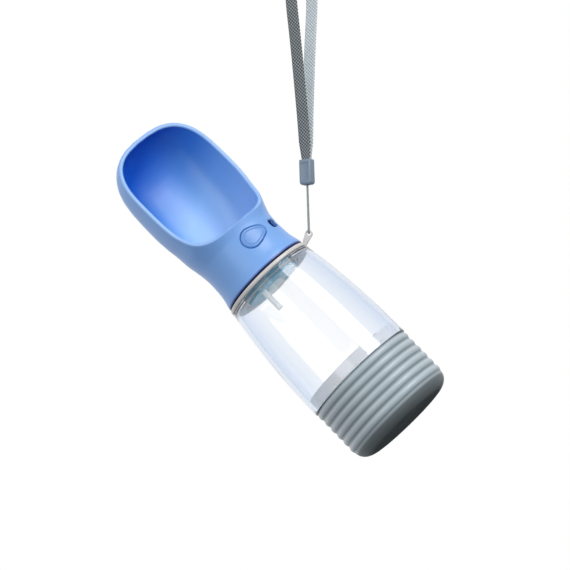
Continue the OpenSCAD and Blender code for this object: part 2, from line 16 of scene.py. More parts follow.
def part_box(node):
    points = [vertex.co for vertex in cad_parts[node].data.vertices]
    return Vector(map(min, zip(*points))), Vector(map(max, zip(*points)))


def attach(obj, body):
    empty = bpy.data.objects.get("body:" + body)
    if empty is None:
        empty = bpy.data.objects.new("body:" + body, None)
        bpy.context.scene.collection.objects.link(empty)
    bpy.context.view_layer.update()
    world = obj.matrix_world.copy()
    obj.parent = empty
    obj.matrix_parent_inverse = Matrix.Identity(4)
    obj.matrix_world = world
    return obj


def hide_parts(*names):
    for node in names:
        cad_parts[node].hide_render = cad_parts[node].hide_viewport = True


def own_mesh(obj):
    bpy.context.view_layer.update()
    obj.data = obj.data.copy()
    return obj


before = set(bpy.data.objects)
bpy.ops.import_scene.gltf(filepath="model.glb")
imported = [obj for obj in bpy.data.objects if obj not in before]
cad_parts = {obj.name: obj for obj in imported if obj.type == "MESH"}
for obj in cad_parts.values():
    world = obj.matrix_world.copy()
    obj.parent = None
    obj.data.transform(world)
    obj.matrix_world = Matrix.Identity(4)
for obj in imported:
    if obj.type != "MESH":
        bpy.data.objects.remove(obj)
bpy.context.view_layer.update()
MM = 0.001

# %% [markdown]
# The sizes come from the frame where it can give them: a box of a node tells its height and
# its radius. The other sizes are the CAD source's own, in millimetres.

# %% Sizes from the frame
def low(node):
    """Lowest corner of a CAD node, in millimetres."""
    return np.array(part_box(node)[0]) / MM

def high(node):
    """Highest corner of a CAD node, in millimetres."""
    return np.array(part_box(node)[1]) / MM

CUP_R = high("food_cup")[0]
CUP_COLLAR_H = 5.0
CUP_H = high("food_cup")[2] - CUP_COLLAR_H
BOTTLE_R = high("bottle")[0]
NECK_TOP = high("bottle")[2]
NECK_H = 14.2
SHOULDER_Z = NECK_TOP - NECK_H
SKIRT_Z = low("bowl_shell")[2]
SCOOP_TOP = high("bowl_shell")[2]
RING_R = high("collar_ring")[1]
RING_Z = low("collar_ring")[2]
RING_T = 2.8
BUTTON_Z = (low("push_button")[2] + high("push_button")[2]) / 2
print("shoulder", round(SHOULDER_Z, 2), "skirt", round(SKIRT_Z, 2),
      "top", round(SCOOP_TOP, 2), "button", round(BUTTON_Z, 2))

# %% [markdown]
# ## Camera
# The photograph looks at the bottle slightly from its left and from below, with a long
# lens, and the bottle leans to the left. The object could be leaned for that, but then it
# would no longer stand in the frame. So it stays upright and the camera leans instead. Its
# three axes are worked out from the view's direction and the lean, and it is moved sideways
# a little, so that no lens shift is needed.

# %% Camera
VIEW_AZIMUTH = math.radians(-27)
VIEW_ELEVATION = math.radians(-9)
VIEW_LEAN = math.radians(44.3)
VIEW_DISTANCE = 1.9
SENSOR_MM = 36
PHOTO_PX = 570
PX_PER_METRE = 1608
TARGET = Vector((0, 0, 0.125))
TARGET_PX = (267.3, 277.7)

def put(name, data):
    """A new object in the scene."""
    thing = bpy.data.objects.new(name, data)
    bpy.context.scene.collection.objects.link(thing)
    return thing

toward_camera = Vector((math.sin(VIEW_AZIMUTH) * math.cos(VIEW_ELEVATION),
                        -math.cos(VIEW_AZIMUTH) * math.cos(VIEW_ELEVATION),
                        math.sin(VIEW_ELEVATION)))
level_right = Vector((math.cos(VIEW_AZIMUTH), math.sin(VIEW_AZIMUTH), 0))
level_up = toward_camera.cross(level_right)
image_right = level_right * math.cos(VIEW_LEAN) - level_up * math.sin(VIEW_LEAN)
image_up = level_right * math.sin(VIEW_LEAN) + level_up * math.cos(VIEW_LEAN)

camera_data = bpy.data.cameras.new("photo_camera")
camera = put("photo_camera", camera_data)
camera_data.sensor_width = SENSOR_MM
camera_data.lens = PX_PER_METRE * VIEW_DISTANCE * SENSOR_MM / PHOTO_PX
side_step = (PHOTO_PX / 2 - TARGET_PX[0]) / PX_PER_METRE
up_step = (TARGET_PX[1] - PHOTO_PX / 2) / PX_PER_METRE
camera.matrix_world = (
    Matrix.Translation(TARGET + toward_camera * VIEW_DISTANCE
                       + image_right * side_step + image_up * up_step)
    @ Matrix((image_right, image_up, toward_camera)).transposed().to_4x4())
bpy.context.scene.camera = camera
bpy.context.scene.view_settings.view_transform = "Standard"
print("lens", round(camera_data.lens, 1), "mm")

# %% [markdown]
# ## Mesh helpers
# The pieces could be made from Blender's primitives and modifiers, but mesh code keeps every
# size in one place and gives the same mesh each time. Most pieces are rows of points that
# are joined into a skin. Edges that meet at a clear angle are marked sharp, and the rest is
# shaded smooth.

# %% Mesh helpers
WELD = 1e-7

def mesh_piece(name, verts, faces, angle=35, uvs=None):
    """An object from points in millimetres, welded, with its faces turned outward."""
    mesh = bpy.data.meshes.new(name)
    mesh.from_pydata([tuple(float(c) * MM for c in v) for v in verts], [], faces)
    if uvs is not None:
        layer = mesh.uv_layers.new(name="UVMap")
        for loop in mesh.loops:
            layer.data[loop.index].uv = uvs[loop.vertex_index]
    work = bmesh.new()
    work.from_mesh(mesh)
    bmesh.ops.remove_doubles(work, verts=work.verts, dist=WELD)
    bmesh.ops.dissolve_degenerate(work, edges=work.edges, dist=WELD)
    bmesh.ops.recalc_face_normals(work, faces=work.faces)
    work.to_mesh(mesh)
    work.free()
    mesh.shade_smooth()
    mesh.set_sharp_from_angle(angle=math.radians(angle))
    return put(name, mesh)

def grid_faces(rows, columns, closed=True, wrap=False):
    """Quads over rows of points. closed joins the last column to the first, and wrap the
    last row to the first."""
    faces = []
    for j in range(rows if wrap else rows - 1):
        for i in range(columns if closed else columns - 1):
            k, m = (i + 1) % columns, (j + 1) % rows
            faces.append((j * columns + i, j * columns + k, m * columns + k, m * columns + i))
    return faces

def capped_faces(rows, columns):
    """Quads over closed rows of points, with a face over each end."""
    last = (rows - 1) * columns
    return grid_faces(rows, columns) + [tuple(reversed(range(columns))),
                                        tuple(last + k for k in range(columns))]

def placed(matrix, points):
    """Points moved by a matrix, such as from the strap's own frame to the bottle's."""
    return [tuple(matrix @ Vector(p)) for p in points]

print("weld distance", WELD, "m")

# %% [markdown]
# ## Effects that several finishes share
# Moulded plastic is never one flat colour. Its tone drifts a little, its skin has a fine
# grain, and hands leave faint rubs on it. Cloth has its own weave. Pictures could carry
# these, but they would need a good unwrap and a set size. Noise and waves follow the
# surface at any size, so each effect is a shader node group with named inputs, built once
# and placed in each material.

# %% Node helpers
FLOAT, COLOUR = "NodeSocketFloat", "NodeSocketColor"

def linear(hex_colour):
    """A written colour such as 7AA5E8 as linear red, green, blue, alpha."""
    channels = [int(hex_colour[i:i + 2], 16) / 255 for i in (0, 2, 4)]
    return tuple(c / 12.92 if c <= 0.04045 else ((c + 0.055) / 1.055) ** 2.4
                 for c in channels) + (1,)

def add(tree, kind, settings=None, **inputs):
    """A node with its inputs set or linked. A space in an input's name is written as _,
    and an input that is known by its number k is written as ik."""
    node = tree.nodes.new(kind)
    for key, value in (settings or {}).items():
        setattr(node, key, value)
    for key, value in inputs.items():
        name = key.replace("_", " ")
        socket = node.inputs[int(key[1:])] if key[1:].isdigit() else node.inputs[name]
        if isinstance(value, bpy.types.NodeSocket):
            tree.links.new(value, socket)
        else:
            socket.default_value = value
    return node

print("half grey is", round(linear("808080")[0], 3), "in linear light")

# %% Node helpers: places, sums and masks
def place_in(tree, output="Object"):
    """Where a point is on the object."""
    return add(tree, "ShaderNodeTexCoord").outputs[output]

def maths(tree, operation, *values):
    """The result of one sum on numbers or sockets."""
    return add(tree, "ShaderNodeMath", {"operation": operation},
               **{f"i{k}": value for k, value in enumerate(values)}).outputs[0]

def largest(tree, first, *others):
    """The largest of several masks."""
    for other in others:
        first = maths(tree, "MAXIMUM", first, other)
    return first

def ranged(tree, value, start, end, at_start=0.0, at_end=1.0, smooth=False):
    """The value between start and end, turned into one between at_start and at_end."""
    kind = {"interpolation_type": "SMOOTHSTEP" if smooth else "LINEAR"}
    return add(tree, "ShaderNodeMapRange", kind, Value=value, From_Min=start, From_Max=end,
               To_Min=at_start, To_Max=at_end).outputs[0]

def noise(tree, place, scale, **settings):
    return add(tree, "ShaderNodeTexNoise", Vector=place, Scale=scale,
               **settings).outputs["Fac"]

def over(tree, mask, below, above):
    """One colour over another, by a mask."""
    return add(tree, "ShaderNodeMix", {"data_type": "RGBA"},
               i0=mask, i6=below, i7=above).outputs[2]

print("masks go from 0 to 1")

# %% Node helpers: groups
def new_group(name, inputs, outputs):
    """An empty shader node group: its tree, its inputs and its output node."""
    tree = bpy.data.node_groups.new(name, "ShaderNodeTree")
    for label, kind, value in inputs:
        socket = tree.interface.new_socket(label, in_out="INPUT", socket_type=kind)
        socket.default_value = value
    for label, kind in outputs:
        tree.interface.new_socket(label, in_out="OUTPUT", socket_type=kind)
    taken = tree.nodes.new("NodeGroupInput").outputs
    return tree, taken, tree.nodes.new("NodeGroupOutput")

print("node groups so far:", len(bpy.data.node_groups))

# %% [markdown]
# The tone drift brightens and darkens a colour by a slow noise.

# %% Group: tone drift
def make_tone_drift():
    tree, taken, given = new_group(
        "tone_drift",
        [("Color", COLOUR, (1, 1, 1, 1)), ("Scale", FLOAT, 40.0), ("Amount", FLOAT, 0.06)],
        [("Color", COLOUR)])
    cloud = noise(tree, place_in(tree), taken["Scale"], Detail=3.0, Roughness=0.55)
    centred = maths(tree, "SUBTRACT", cloud, 0.5)
    scaled = maths(tree, "MULTIPLY_ADD", centred, taken["Amount"], 1.0)
    shifted = add(tree, "ShaderNodeHueSaturation", Color=taken["Color"], Value=scaled)
    tree.links.new(shifted.outputs["Color"], given.inputs["Color"])
    return tree

tone_drift = make_tone_drift()
print("group:", tone_drift.name)

# %% [markdown]
# The fine grain is the height of a moulded skin: a fine grit on a wider swell.

# %% Group: fine grain
GRIT_SHARE = 0.35

def make_fine_grain():
    tree, taken, given = new_group(
        "fine_grain", [("Scale", FLOAT, 900.0), ("Waves", FLOAT, 60.0)],
        [("Height", FLOAT)])
    place = place_in(tree)
    grit = noise(tree, place, taken["Scale"], Detail=2.0)
    swell = noise(tree, place, taken["Waves"], Detail=1.0)
    both = maths(tree, "MULTIPLY_ADD", grit, GRIT_SHARE, swell)
    tree.links.new(both, given.inputs["Height"])
    return tree

fine_grain = make_fine_grain()
print("group:", fine_grain.name)

# %% [markdown]
# Rubs are streaks where the gloss changes. The noise is stretched and turned, as a hand's
# strokes are.

# %% Group: rubs
def make_rubs():
    tree, taken, given = new_group(
        "rubs", [("Low", FLOAT, 0.3), ("High", FLOAT, 0.45), ("Scale", FLOAT, 60.0)],
        [("Roughness", FLOAT)])
    stretch = add(tree, "ShaderNodeMapping", Vector=place_in(tree), Scale=(1.0, 1.0, 0.3),
                  Rotation=(0.3, 0.5, 0.0))
    smear = noise(tree, stretch.outputs[0], taken["Scale"], Detail=5.0, Roughness=0.6)
    gloss = ranged(tree, smear, 0.35, 0.7, taken["Low"], taken["High"])
    tree.links.new(gloss, given.inputs["Roughness"])
    return tree

rubs = make_rubs()
print("group:", rubs.name)

# %% [markdown]
# In the weave the threads run along and across the band's own length and width, which its
# UVs hold in millimetres. Each thread is a rounded ridge, and over and under change like a
# chessboard.

# %% Group: weave
def make_weave():
    tree, taken, given = new_group(
        "weave", [("Thread", FLOAT, 0.75)], [("Height", FLOAT), ("Mask", FLOAT)])
    per_thread = maths(tree, "DIVIDE", 1.0, taken["Thread"])
    divided = add(tree, "ShaderNodeVectorMath", {"operation": "SCALE"},
                  i0=add(tree, "ShaderNodeUVMap").outputs[0], Scale=per_thread)
    parts = add(tree, "ShaderNodeSeparateXYZ", Vector=divided.outputs[0])
    ridges = [maths(tree, "SINE", maths(tree, "MULTIPLY", parts.outputs[axis], math.pi))
              for axis in ("X", "Y")]
    crossing = maths(tree, "MULTIPLY", *ridges)
    height = maths(tree, "MULTIPLY_ADD", crossing, 0.5, 0.5)
    tree.links.new(height, given.inputs["Height"])
    tree.links.new(ranged(tree, height, 0.3, 0.75), given.inputs["Mask"])
    return tree

weave = make_weave()
print("group:", weave.name)

# %% [markdown]
# ## Finishes
# Each finish is one function that builds a material. The Principled shader stays in the
# material, and the groups above feed its colour, its roughness and its bump. A moulded
# plastic is satin, with all three effects on it.

# %% Material helpers
def use_group(tree, group, **inputs):
    """A shared effect placed in a material, with this material's own values."""
    return add(tree, "ShaderNodeGroup", {"node_tree": group}, **inputs)

def start_material(name, **shader_values):
    """A new material: its tree and its Principled shader, with plain values set on it."""
    material = bpy.data.materials.new(name)
    material.use_nodes = True
    tree = material.node_tree
    tree.nodes.clear()
    shader = add(tree, "ShaderNodeBsdfPrincipled", **shader_values)
    add(tree, "ShaderNodeOutputMaterial", Surface=shader.outputs[0])
    return material, tree, shader

def tone(tree, shader, colour, scale, amount):
    """A drifting colour on the shader."""
    drifting = use_group(tree, tone_drift, Color=colour, Scale=scale, Amount=amount)
    tree.links.new(drifting.outputs[0], shader.inputs["Base Color"])

def emboss(tree, shader, height, strength, distance=0.0004):
    """A bump on the shader."""
    bumped = add(tree, "ShaderNodeBump", Height=height, Strength=strength,
                 Distance=distance)
    tree.links.new(bumped.outputs[0], shader.inputs["Normal"])

def satin(tree, shader, low_gloss, high_gloss, streaks=70.0, grit=900.0, waves=70.0,
          bump=0.05):
    """Faint rubs and a fine grain on the shader."""
    gloss = use_group(tree, rubs, Low=low_gloss, High=high_gloss, Scale=streaks)
    tree.links.new(gloss.outputs[0], shader.inputs["Roughness"])
    skin = use_group(tree, fine_grain, Scale=grit, Waves=waves)
    emboss(tree, shader, skin.outputs[0], bump)

def moulded(name, hex_colour, low_gloss, high_gloss, drift=0.06, bump=0.04,
            **shader_values):
    """Satin moulded plastic in one colour."""
    material, tree, shader = start_material(name, **shader_values)
    tone(tree, shader, linear(hex_colour), 35.0, drift)
    satin(tree, shader, low_gloss, high_gloss, bump=bump)
    return material

def mesh_mask(tree, name):
    """A mask that the mesh carries."""
    return add(tree, "ShaderNodeAttribute", {"attribute_name": name}).outputs["Fac"]

print("effects that a finish can use:", len(bpy.data.node_groups))

# %% Moulded finishes
BUTTON_BLUE = moulded("button_blue", "6A9CDF", 0.3, 0.4)
# the lock's dark navy is painted shade: it stands for the shadow in its slot
LOCK_SHADE_NAVY = moulded("lock_painted_shade", "2D559E", 0.3, 0.4)
RING_BEIGE = moulded("ring_beige", "D6D3D0", 0.2, 0.3)
VALVE_TEAL = moulded("valve_teal", "4FB0D2", 0.2, 0.3)
SILICONE = moulded("milky_silicone", "E6EAEA", 0.35, 0.5, Subsurface_Weight=0.15)
TUBE_WHITE = moulded("tube_white", "E2E6E6", 0.25, 0.35)
CLAMP_GREY = moulded("clamp_grey", "8090A0", 0.35, 0.5, bump=0.08)
STEEL = moulded("spring_steel", "BFC3C8", 0.15, 0.3, drift=0.1, Metallic=1.0)
print("moulded finishes:", len(bpy.data.materials))

# %% [markdown]
# ### The scoop's blue
# The scoop is moulded in one blue. Over it the finish paints light and shade: the bowl is
# lighter near the lip and deeper towards the far end and the left, the rim gets a painted
# highlight, and the skirt's edge over the ring gets painted shade in deep blue. A slanted
# distance gives the bowl's painted light and shade. The inside, the rim and the skirt's edge
# are masks that the mesh carries, because a mesh knows them better than a noise or a height
# would.

# %% The scoop's blue
# painted light and shade in the bowl: a slanted distance and its ramp of blues
BOWL_SLANT = (-0.5, 0.0, 1.0)
BOWL_FROM, BOWL_TO = 0.158, 0.238
BOWL_SHADE_TONES = ((0.0, "A6CCF5"), (0.35, "86BBF2"), (0.62, "4C90E0"), (1.0, "0055C6"))

def bowl_painted_shade(tree):
    """Painted light and shade on the bowl's colour: lighter near the lip, deeper towards the
    far end and the left.
    """
    toward_end = add(tree, "ShaderNodeVectorMath", {"operation": "DOT_PRODUCT"},
                     i0=place_in(tree), i1=BOWL_SLANT)
    depth = ranged(tree, toward_end.outputs["Value"], BOWL_FROM, BOWL_TO)
    ramp = add(tree, "ShaderNodeValToRGB", Fac=depth)
    stops = ramp.color_ramp.elements
    for at, _ in BOWL_SHADE_TONES[1:-1]:
        stops.new(at)
    for stop, (at, colour) in zip(stops, BOWL_SHADE_TONES):
        stop.position, stop.color = at, linear(colour)
    return ramp.outputs[0]

def scoop_blue():
    material, tree, shader = start_material("scoop_blue", Specular_IOR_Level=0.5)
    # the bowl's inside: painted light and shade, lighter near the lip and deeper towards the
    # far end and the left
    colour = over(tree, mesh_mask(tree, "inside"), linear("7AABEC"), bowl_painted_shade(tree))
    # the rim: a painted highlight in lighter blue
    colour = over(tree, mesh_mask(tree, "rim"), colour, linear("98C0F3"))
    # the skirt's edge: painted shade in deep blue, for the shadowed gap over the ring
    colour = over(tree, mesh_mask(tree, "skirt"), colour, linear("1E3C8A"))
    tone(tree, shader, colour, 30.0, 0.06)
    satin(tree, shader, 0.3, 0.42, streaks=55.0, grit=1100.0, waves=50.0)
    return material

SCOOP_BLUE = scoop_blue()
print("bowl tones:", [colour for _, colour in BOWL_SHADE_TONES])

# %% [markdown]
# ### The cup's grey
# The cup is one grey. Its grooves get painted shade, and its smooth foot is painted darker
# as shade. Both follow from the distance to the axis and the height, so they need no masks.

# %% The cup's grey
# painted shade in the grooves, and the heights where it starts above the foot
GROOVE_SHADE_DEPTH, GROOVE_SHADE_EDGE = 0.95, 0.15
GROOVE_SHADE_FROM_Z, GROOVE_SHADE_FULL_Z = 6.6, 8.0
# painted shade on the foot: full below the first height, none above the second
FOOT_SHADE_FULL_Z, FOOT_SHADE_NONE_Z = 5.2, 7.8

def cup_grey():
    material, tree, shader = start_material("cup_grey")
    parts = add(tree, "ShaderNodeSeparateXYZ", Vector=place_in(tree)).outputs
    flat = add(tree, "ShaderNodeCombineXYZ", X=parts["X"], Y=parts["Y"])
    radius = add(tree, "ShaderNodeVectorMath", {"operation": "LENGTH"}, i0=flat.outputs[0])
    # painted shade: darker grey in the grooves, none at the crests or below the ribs
    crest = ranged(tree, radius.outputs["Value"], (CUP_R - GROOVE_SHADE_DEPTH) * MM,
                   (CUP_R - GROOVE_SHADE_EDGE) * MM, smooth=True)
    below_ribs = ranged(tree, parts["Z"], GROOVE_SHADE_FROM_Z * MM, GROOVE_SHADE_FULL_Z * MM, 1.0, 0.0)
    colour = over(tree, largest(tree, crest, below_ribs), linear("77858C"),
                  linear("B6C2C9"))
    # painted shade on the smooth foot, darker towards the base
    above_foot = ranged(tree, parts["Z"], FOOT_SHADE_FULL_Z * MM, FOOT_SHADE_NONE_Z * MM, smooth=True)
    colour = over(tree, above_foot, linear("666F72"), colour)
    tone(tree, shader, colour, 35.0, 0.07)
    satin(tree, shader, 0.3, 0.44)
    return material

CUP_GREY = cup_grey()
print("cup's radius", round(CUP_R, 2), "mm")

# %% [markdown]
# ### The clear plastic
# A thick clear plastic looks darkest where the eye looks along its wall. A tint that Layer
# Weight turns up at the edge gives that, and a stretched noise gives the faint flow marks
# down the barrel. The bottle's floor looks milky in the photograph, because light scatters
# between its disc and its thread, so little light goes straight through its finish.

# %% The clear plastic
def clear_plastic(name, face, edge, marks, through):
    material, tree, shader = start_material(
        name, Transmission_Weight=through, Roughness=0.02, IOR=1.46, Specular_IOR_Level=0.5)
    side = add(tree, "ShaderNodeLayerWeight", Blend=0.32)
    colour = over(tree, side.outputs["Facing"], linear(face), linear(edge))
    tone(tree, shader, colour, 18.0, 0.03)
    flow = add(tree, "ShaderNodeMapping", Vector=place_in(tree), Scale=(120.0, 120.0, 12.0))
    streak = noise(tree, flow.outputs[0], 1.0, Detail=2.0)
    emboss(tree, shader, streak, marks, 0.002)
    return material

CLEAR = clear_plastic("clear_barrel", "FDFEFF", "9DBDE6", 0.05, 1.0)
CLEAR_FLOOR = clear_plastic("clear_floor", "FFFFFF", "F4F8FF", 0.02, 0.1)
print("clear finishes:", CLEAR.name, CLEAR_FLOOR.name)

# %% [markdown]
# ### Cloth
# The strap is woven. The weave's mask mixes two thread colours, and its height is the bump.
# The loop's inner face, where the mesh marks it, is a lighter cloth.

# %% Cloth
INNER_LIGHT, INNER_DARK = "E4ECEE", "B4C0C4"

def woven(name, light, dark, thread):
    material, tree, shader = start_material(name, Roughness=0.85, Sheen_Weight=0.25,
                                            Sheen_Roughness=0.5)
    cloth = use_group(tree, weave, Thread=thread)
    outer = over(tree, cloth.outputs["Mask"], linear(dark), linear(light))
    inner = over(tree, cloth.outputs["Mask"], linear(INNER_DARK), linear(INNER_LIGHT))
    colour = over(tree, mesh_mask(tree, "inner_face"), outer, inner)
    tone(tree, shader, colour, 260.0, 0.3)
    emboss(tree, shader, cloth.outputs["Height"], 0.7)
    return material

WEBBING = woven("webbing_weave", "9CA2A4", "3C4143", 1.1)
CORD = woven("cord_braid", "B9BDBD", "7E8383", 0.55)
print("materials:", len(bpy.data.materials))

# %% [markdown]
# ## How a piece joins the frame
# A finished piece gets its material, rides on its CAD body, and stands for the CAD node that
# it replaces.

# %% Joining helper
def settle(piece, body, node, material):
    piece.data.materials.clear()
    piece.data.materials.append(material)
    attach(piece, body)
    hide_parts(node)
    print(piece.name, "on", body, "with", len(piece.data.polygons), "faces")

# %% [markdown]
# ## Wrist strap: where it runs
# A thin cord goes through the ring's ear and back, a moulded clamp holds its two ends, and
# a flat webbing loop comes out of the clamp's other side. The hand holds it taut, so it
# needs no cloth simulation: smooth lines through a few points give its run. The points are
# the CAD source's own. Each is how far across and how far along the strap, in millimetres
# from the ear's hole, and the other half mirrors them.

# %% The strap's own frame
EAR_TURN = math.radians(-24)
EAR_REACH = 37.7
EAR_RISE = 3.2
EAR_Z = RING_Z + RING_T / 2 + EAR_RISE
STRAP_LEAN = math.radians(42)
STRAP_TWIST = math.radians(-28)

CORD_POINTS = [(0.8, 32), (0.9, 27), (1.3, 21), (1.8, 14), (2.1, 8), (2.2, 4), (2.1, 1.8),
               (1.6, 0.7), (0.8, 0.5)]
CORD_TIP = 0.5
WEBBING_POINTS = [(0.8, 46), (1.2, 52), (1.8, 60), (2.8, 72), (4.1, 84), (5.6, 97),
                  (7.4, 112), (9.6, 128), (11.9, 144), (12.7, 157), (12.2, 168),
                  (10.3, 177), (7.2, 184), (3.7, 188)]
WEBBING_TIP = 189

ear_at = Vector((EAR_REACH * math.cos(EAR_TURN), EAR_REACH * math.sin(EAR_TURN), EAR_Z))
strap_frame = (Matrix.Translation(ear_at) @ Matrix.Rotation(EAR_TURN, 4, "Z")
               @ Matrix.Rotation(STRAP_LEAN, 4, "Y"))
webbing_frame = strap_frame @ Matrix.Rotation(STRAP_TWIST, 4, "Z")

print("ear's hole at", [round(c, 2) for c in ear_at])

# %% Smooth lines
def catmull(points, per_span=6):
    """A smooth line through the points, with per_span steps between two of them."""
    p = np.array(points, float)
    p = np.vstack([2 * p[0] - p[1], p, 2 * p[-1] - p[-2]])
    out = []
    for i in range(1, len(p) - 2):
        for k in range(per_span):
            t = k / per_span
            out.append(0.5 * (2 * p[i] + (p[i + 1] - p[i - 1]) * t
                              + (2 * p[i - 1] - 5 * p[i] + 4 * p[i + 1] - p[i + 2]) * t ** 2
                              + (3 * p[i] - p[i - 1] - 3 * p[i + 1] + p[i + 2]) * t ** 3))
    return np.array(out + [p[-2]])

def loop_line(half, tip):
    """A smooth line along both halves of a loop that turns at tip."""
    return catmull([(-across, along) for across, along in half] + [(0, tip)]
                   + list(reversed(half)))

def directions(line):
    """The direction at each point of a line."""
    steps = np.gradient(line, axis=0)
    return steps / np.linalg.norm(steps, axis=1)[:, None]

def distances(line):
    """The way along a line to each of its points."""
    steps = np.linalg.norm(np.diff(line, axis=0), axis=1)
    return np.concatenate([[0], np.cumsum(steps)])

cord_line = loop_line(CORD_POINTS, CORD_TIP)
webbing_line = loop_line(WEBBING_POINTS, WEBBING_TIP)
print("points along the cord and the webbing:", len(cord_line), len(webbing_line))

# %% [markdown]
# ## Wrist strap: the thin cord
# A braided cord of about a millimetre is a round tube. Its UVs run round it and along it in
# millimetres, so the weave group can draw the braid. Strands as meshes would be too fine to
# see and heavy.

# %% Thin cord
CORD_D = 1.2
CORD_SIDES = 14
BRAID_SLANT = 0.8

def cord_tube(name, line):
    """A round tube along a line in the strap's YZ plane, with UVs in millimetres."""
    radius = CORD_D / 2
    verts, uvs = [], []
    for p, toward, along in zip(line, directions(line), distances(line)):
        for k in range(CORD_SIDES + 1):
            b = 2 * math.pi * k / CORD_SIDES
            across = radius * math.sin(b)
            verts.append((radius * math.cos(b), p[0] + across * toward[1],
                          p[1] - across * toward[0]))
            uvs.append((radius * b + along * BRAID_SLANT, along))
    faces = grid_faces(len(line), CORD_SIDES + 1, closed=False)
    last = (len(line) - 1) * (CORD_SIDES + 1)
    ends = [tuple(range(CORD_SIDES)), tuple(last + k for k in reversed(range(CORD_SIDES)))]
    return mesh_piece(name, placed(strap_frame, verts), faces + ends, uvs=uvs)

cord = cord_tube("braided_cord", cord_line)
settle(cord, "strap", "wrist_cord", CORD)

# %% [markdown]
# ## Wrist strap: the clamp
# The clamp is a small moulded block with rounded lower corners and a sunk panel on its
# front and back. A cube with a bevel would round all its edges alike. A stack of rounded
# rectangles gives the long curve at its foot and the tight one at its top. The panels, the
# webbing's slot and the cord's hole are carved out.

# %% Clamp helpers
def rounded_rectangle(half_x, half_y, radius, steps=5):
    """Corner points of a rectangle with round corners, going round once."""
    points = []
    for quarter, (sx, sy) in enumerate(((1, 1), (-1, 1), (-1, -1), (1, -1))):
        for k in range(steps + 1):
            a = math.pi / 2 * (quarter + k / steps)
            points.append((sx * (half_x - radius) + radius * math.cos(a),
                           sy * (half_y - radius) + radius * math.sin(a)))
    return points

def block_of_rings(name, matrix, rings):
    """A closed block from rings of (x, y) points at their heights."""
    verts = [(x, y, z) for z, ring in rings for x, y in ring]
    return mesh_piece(name, placed(matrix, verts), capped_faces(len(rings), len(rings[0][1])))

def box_cutter(matrix, centre, half, radius=0.3):
    """A box with rounded upright edges, to carve with."""
    ring = [(centre[0] + x, centre[1] + y)
            for x, y in rounded_rectangle(half[0], half[1], radius, steps=3)]
    return block_of_rings("cutter", matrix,
                          [(centre[2] - half[2], ring), (centre[2] + half[2], ring)])

print("a block's ring has", len(rounded_rectangle(1, 1, 0.3)), "points")

# %% Carving helper
def carved(piece, cutters, angle=35, operation="DIFFERENCE"):
    """The piece with the cutters' shapes taken out of it (or joined to it, as a UNION)."""
    for cutter in cutters:
        step = piece.modifiers.new("carve", "BOOLEAN")
        step.operation = operation
        step.solver = "EXACT"
        step.object = cutter
    bpy.context.view_layer.update()
    result = bpy.data.meshes.new_from_object(
        piece.evaluated_get(bpy.context.evaluated_depsgraph_get()))
    piece.modifiers.clear()
    old = piece.data
    piece.data = result
    bpy.data.meshes.remove(old)
    for cutter in cutters:
        bpy.data.objects.remove(cutter)
    result.shade_smooth()
    result.set_sharp_from_angle(angle=math.radians(angle))
    return piece

# %% Clamp
WEBBING_W, WEBBING_T = 8.2, 1.0
CLAMP_LOW, CLAMP_LEN, CLAMP_W, CLAMP_D = 31, 16, 8.2, 6.0
CLAMP_FOOT, CLAMP_EDGE, CLAMP_CORNER = 1.8, 0.6, 0.9
FOOT_INSET_X, FOOT_INSET_Y = 0.8, 0.48
PANEL_DEEP, PANEL_SIDE, PANEL_ENDS = 0.35, 1.5, 2.4

def clamp_block():
    rings = []
    for a in np.linspace(0, math.pi / 2, 7):
        inset = CLAMP_FOOT * (1 - math.sin(a))
        rings.append((CLAMP_LOW + CLAMP_FOOT * (1 - math.cos(a)),
                      rounded_rectangle(CLAMP_W / 2 - inset * FOOT_INSET_X,
                                        CLAMP_D / 2 - inset * FOOT_INSET_Y, CLAMP_CORNER)))
    for a in np.linspace(0, math.pi / 2, 5):
        inset = CLAMP_EDGE * (1 - math.cos(a))
        rings.append((CLAMP_LOW + CLAMP_LEN - CLAMP_EDGE * (1 - math.sin(a)),
                      rounded_rectangle(CLAMP_W / 2 - inset, CLAMP_D / 2 - inset,
                                        CLAMP_CORNER)))
    return block_of_rings("strap_clamp", webbing_frame, rings)

panel_mid = CLAMP_LOW + CLAMP_LEN / 2 + 0.2
panels = [box_cutter(webbing_frame, (0, side * (CLAMP_D / 2 + 1.0 - PANEL_DEEP), panel_mid),
                     (CLAMP_W / 2 - PANEL_SIDE, 1.0, CLAMP_LEN / 2 - PANEL_ENDS))
          for side in (-1, 1)]
slot_for_webbing = box_cutter(webbing_frame, (0, 0, CLAMP_LOW + CLAMP_LEN),
                              (WEBBING_W * 0.36, WEBBING_T + 0.6, 7.0), 0.4)
hole_for_cord = box_cutter(webbing_frame, (0, 0, CLAMP_LOW - 0.4), (1.2, 1.5, 2.4), 0.5)
clamp = carved(clamp_block(), [*panels, slot_for_webbing, hole_for_cord])
settle(clamp, "strap", "cord_clamp", CLAMP_GREY)

# %% [markdown]
# ## Wrist strap: the webbing
# Webbing is a flat band with soft edges. The clamp pinches it narrower, and it widens above
# the clamp. A plane with a thickness would have square edges, so a flat oval is led along
# the line instead. Its UVs are its own width and length in millimetres. The photo shows a
# darker cloth on the loop's outer face and a lighter one on its inner face, so a mask tells
# them.

# %% Webbing
PINCH, PINCH_LEN = 0.32, 12
BAND_SIDES = 28
BAND_SQUARE_W, BAND_SQUARE_T = 0.35, 0.6
INNER_FROM = 0.05

